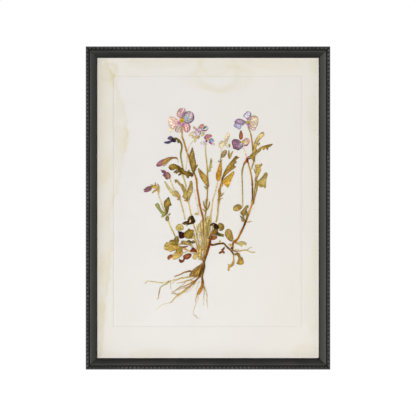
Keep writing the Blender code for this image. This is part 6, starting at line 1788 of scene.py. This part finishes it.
press("flower_right", "petal_lilac", petal_finish,
    lay_petal([(248.3, 123.2), (248.4, 126.5), (250.2, 128.4), (252.1, 129.9), (253.6, 130.7)],
        [(249.3, 122.7), (252.1, 125), (255, 126.9), (255.9, 129.3), (254.2, 130.7)],
        [(202, 135, 179), (216, 190, 194), (218, 208, 192), (215, 206, 179)], (121, 113, 98),
        (190, 108, 147), 2.5, dark=0.5, edge_from=0.74),
    lay_petal(
        [(248.7, 122.2), (250.5, 117.9), (251.7, 116), (254, 115.3), (256.7, 116), (258.3, 117.8)],
        [(248.7, 123.2), (251.2, 126), (253.6, 127.9), (255.9, 127.7), (257.9, 124.6),
        (258.5, 120.3)],
        [(217, 166, 183), (218, 202, 178), (222, 214, 182), (220, 208, 168), (215, 196, 139)],
        (180, 141, 71), (211, 156, 159), 3.5, other_edge=(133, 125, 102), dark=0.45,
        edge_from=0.78),
    lay_petal([(247.9, 119.9), (245.9, 118), (244.2, 116.5), (243.2, 115.7), (244.8, 113.5),
        (246.5, 111.8), (247.6, 111)],
        [(249.1, 119.7), (250, 118), (251.1, 116.1), (251.4, 113.7), (250.2, 111.8),
        (249.1, 111.1)],
        [(194, 156, 179), (200, 192, 206), (208, 202, 214), (202, 196, 208), (172, 168, 174)],
        (84, 78, 76), (158, 148, 168), 2.5, dark=0.6, edge_from=0.7),
    lay_petal([(246.7, 122.4), (244.1, 124.6), (240.8, 122.7), (237, 122.6), (233.8, 124.1)],
        [(246.5, 123.6), (241.9, 125.7), (241.1, 127.6), (239.2, 129.3), (236.9, 127.6),
        (234.6, 126.6), (233.6, 125)],
        [(196, 176, 190), (200, 194, 208), (194, 188, 206), (164, 156, 188)], (84, 72, 108),
        (122, 108, 156), 3.5, dark=0.55, edge_from=0.74, ragged=0.5),
    lay_petal([(246.8, 121.6), (243.6, 119.8), (241.3, 118.8), (238.5, 118.5), (236, 119.6),
        (234.5, 121.6)],
        [(246.8, 122.5), (245.1, 123.1), (242.7, 124.1), (239.9, 123.6), (237, 123.1),
        (234.7, 122.7)],
        [(184, 150, 176), (186, 162, 178), (184, 160, 174), (174, 150, 168), (134, 106, 138)],
        (86, 56, 88), (128, 88, 128), 3.5, dark=0.55, edge_from=0.72, ragged=0.4),
    lay_leaf([(246.9, 117.5), (246.4, 118), (246.8, 119)],
        [(247.9, 118), (247.8, 118.9), (247.4, 119.7)], [(184, 115, 163), (180, 115, 161)],
        (174, 115, 153), (143, 76, 126), dark=0.2),
    lay_leaf([(247.2, 123.2), (246.8, 124.6), (247.4, 125.3)],
        [(248.4, 123.2), (248.4, 124.6), (247.9, 125.3)], [(190, 104, 153), (188, 115, 163)],
        (174, 108, 153), (143, 65, 122), dark=0.2),
    lay_leaf([(249.6, 119.6), (250.4, 118.8), (251.2, 118)],
        [(250.1, 120.1), (251.2, 119.6), (251.6, 118.6)], [(190, 115, 163), (194, 135, 173)],
        (180, 125, 159), (154, 86, 132), dark=0.2),
    lay_leaf([(246.5, 121.8), (246.9, 120.6), (248.4, 120.3), (250.1, 121.2)],
        [(246.7, 122.7), (248.4, 123.2), (249.8, 122.9), (250.2, 121.8)],
        [(227, 208, 102), (219, 194, 65), (143, 141, 41)], (174, 156, 61), (123, 125, 31),
        dark=0.25))


# Glass
# One pane of clear float glass, held behind the lip, over the plant.

def clear_pane():
    """Clear glass, faintly uneven as float glass is."""
    finish, nodes, shader, wire = new_finish("clear_glass", 0.0)
    shader.inputs["Base Color"].default_value = (1.0, 1.0, 1.0, 1.0)
    shader.inputs["Transmission Weight"].default_value = 1.0
    shader.inputs["IOR"].default_value = 1.5
    place = nodes.new("ShaderNodeTexCoord").outputs["Object"]
    add_bump(nodes, wire, add_noise(nodes, wire, place, 14.0, detail=1.0), shader, 0.00002, 0.3)
    return finish


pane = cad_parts["glass"]
pane.data.materials.clear()
pane.data.materials.append(clear_pane())
pane.visible_shadow = False
pane.visible_diffuse = False


# Studio
# A plain pale floor well below the hanging frame, soft white light that is strongest
# from the left, and a long lens level with the middle of the frame.

FLOOR_DROP = 0.12
FLOOR_SIZE = 0.8
floor_mesh = bpy.data.meshes.new("floor")
half_floor = FLOOR_SIZE / 2
floor_mesh.from_pydata([(-half_floor, -half_floor, cad_low.z - FLOOR_DROP),
                        (half_floor, -half_floor, cad_low.z - FLOOR_DROP),
                        (half_floor, half_floor, cad_low.z - FLOOR_DROP),
                        (-half_floor, half_floor, cad_low.z - FLOOR_DROP)], [], [(0, 1, 2, 3)])
floor = bpy.data.objects.new("floor", floor_mesh)
bpy.context.scene.collection.objects.link(floor)
floor_finish, _, floor_shader, _ = new_finish("pale_floor", 0.9)
floor_shader.inputs["Base Color"].default_value = (0.93, 0.93, 0.93, 1.0)
floor.data.materials.append(floor_finish)


def hang_lamp(name, place, size, power):
    """A square soft lamp that faces the middle of the frame."""
    lamp = bpy.data.lights.new(name, "AREA")
    lamp.size = size
    lamp.energy = power
    holder = bpy.data.objects.new(name, lamp)
    holder.location = frame_middle + Vector(place)
    holder.rotation_euler = (-Vector(place)).to_track_quat("-Z", "Y").to_euler()
    holder.visible_transmission = False
    holder.visible_camera = False
    bpy.context.scene.collection.objects.link(holder)


hang_lamp("key_lamp", (-0.78, -6.0, 0.1), 0.6, 134.0)
hang_lamp("fill_lamp", (0.78, -6.0, 0.0), 0.6, 114.0)


def light_room():
    """White behind the frame, less in front: most from the left, least above and below.

    Dead ahead of the frame it is dark, so that the pane reflects next to nothing.
    """
    world = bpy.data.worlds.new("studio")
    bpy.context.scene.world = world
    world.use_nodes = True
    nodes = world.node_tree.nodes
    wire = world.node_tree.links.new
    parts = nodes.new("ShaderNodeSeparateXYZ")
    wire(nodes.new("ShaderNodeTexCoord").outputs["Generated"], parts.inputs[0])
    shares = []
    for axis in "XYZ":
        share = nodes.new("ShaderNodeMapRange")
        share.inputs["From Min"].default_value = -1.0
        share.inputs["From Max"].default_value = 1.0
        wire(parts.outputs[axis], share.inputs["Value"])
        shares.append(share.outputs["Result"])
    sides = add_ramp(nodes, wire, shares[0], (0.04, 0.5), (0.14, 1.0), (0.27, 1.0), (0.38, 0.2),
                     (0.62, 0.1), (0.73, 0.45), (0.86, 0.45))
    levels = add_ramp(nodes, wire, shares[2], (0.30, 0.1), (0.42, 1.0), (0.58, 1.0), (0.70, 0.1))
    ahead = add_mix(nodes, wire, 1.0, sides, levels, "MULTIPLY")
    ahead = add_mix(nodes, wire, 1.0, ahead, (1.45, 1.45, 1.45), "MULTIPLY")
    ahead = add_mix(nodes, wire, 1.0, ahead, (0.10, 0.10, 0.10), "ADD")
    hole = add_ramp(nodes, wire, shares[1], (0.006, 0.05), (0.016, 1.0))
    ahead = add_mix(nodes, wire, 1.0, ahead, hole, "MULTIPLY")
    behind = add_ramp(nodes, wire, shares[1], (0.42, 0.0), (0.68, 1.0))
    around = add_mix(nodes, wire, behind, ahead, (1.02, 1.02, 1.02))
    wire(around, nodes["Background"].inputs["Color"])


light_room()

LENS = 200.0
SENSOR = 36.0
PHOTO_WIDTH = 0.416
SCALED_DEPTH = 0.0145    # how far in front of the wall a pixel is a millimetre
camera = bpy.data.cameras.new("camera")
camera.lens = LENS
camera.sensor_width = SENSOR
camera.clip_end = 50.0
viewer = bpy.data.objects.new("camera", camera)
bpy.context.scene.collection.objects.link(viewer)
viewer.location = frame_middle - Vector((0.0, SCALED_DEPTH + PHOTO_WIDTH * LENS / SENSOR, 0.0))
viewer.rotation_euler = (math.pi / 2, 0.0, 0.0)
bpy.context.scene.camera = viewer
bpy.context.scene.view_settings.view_transform = "Standard"
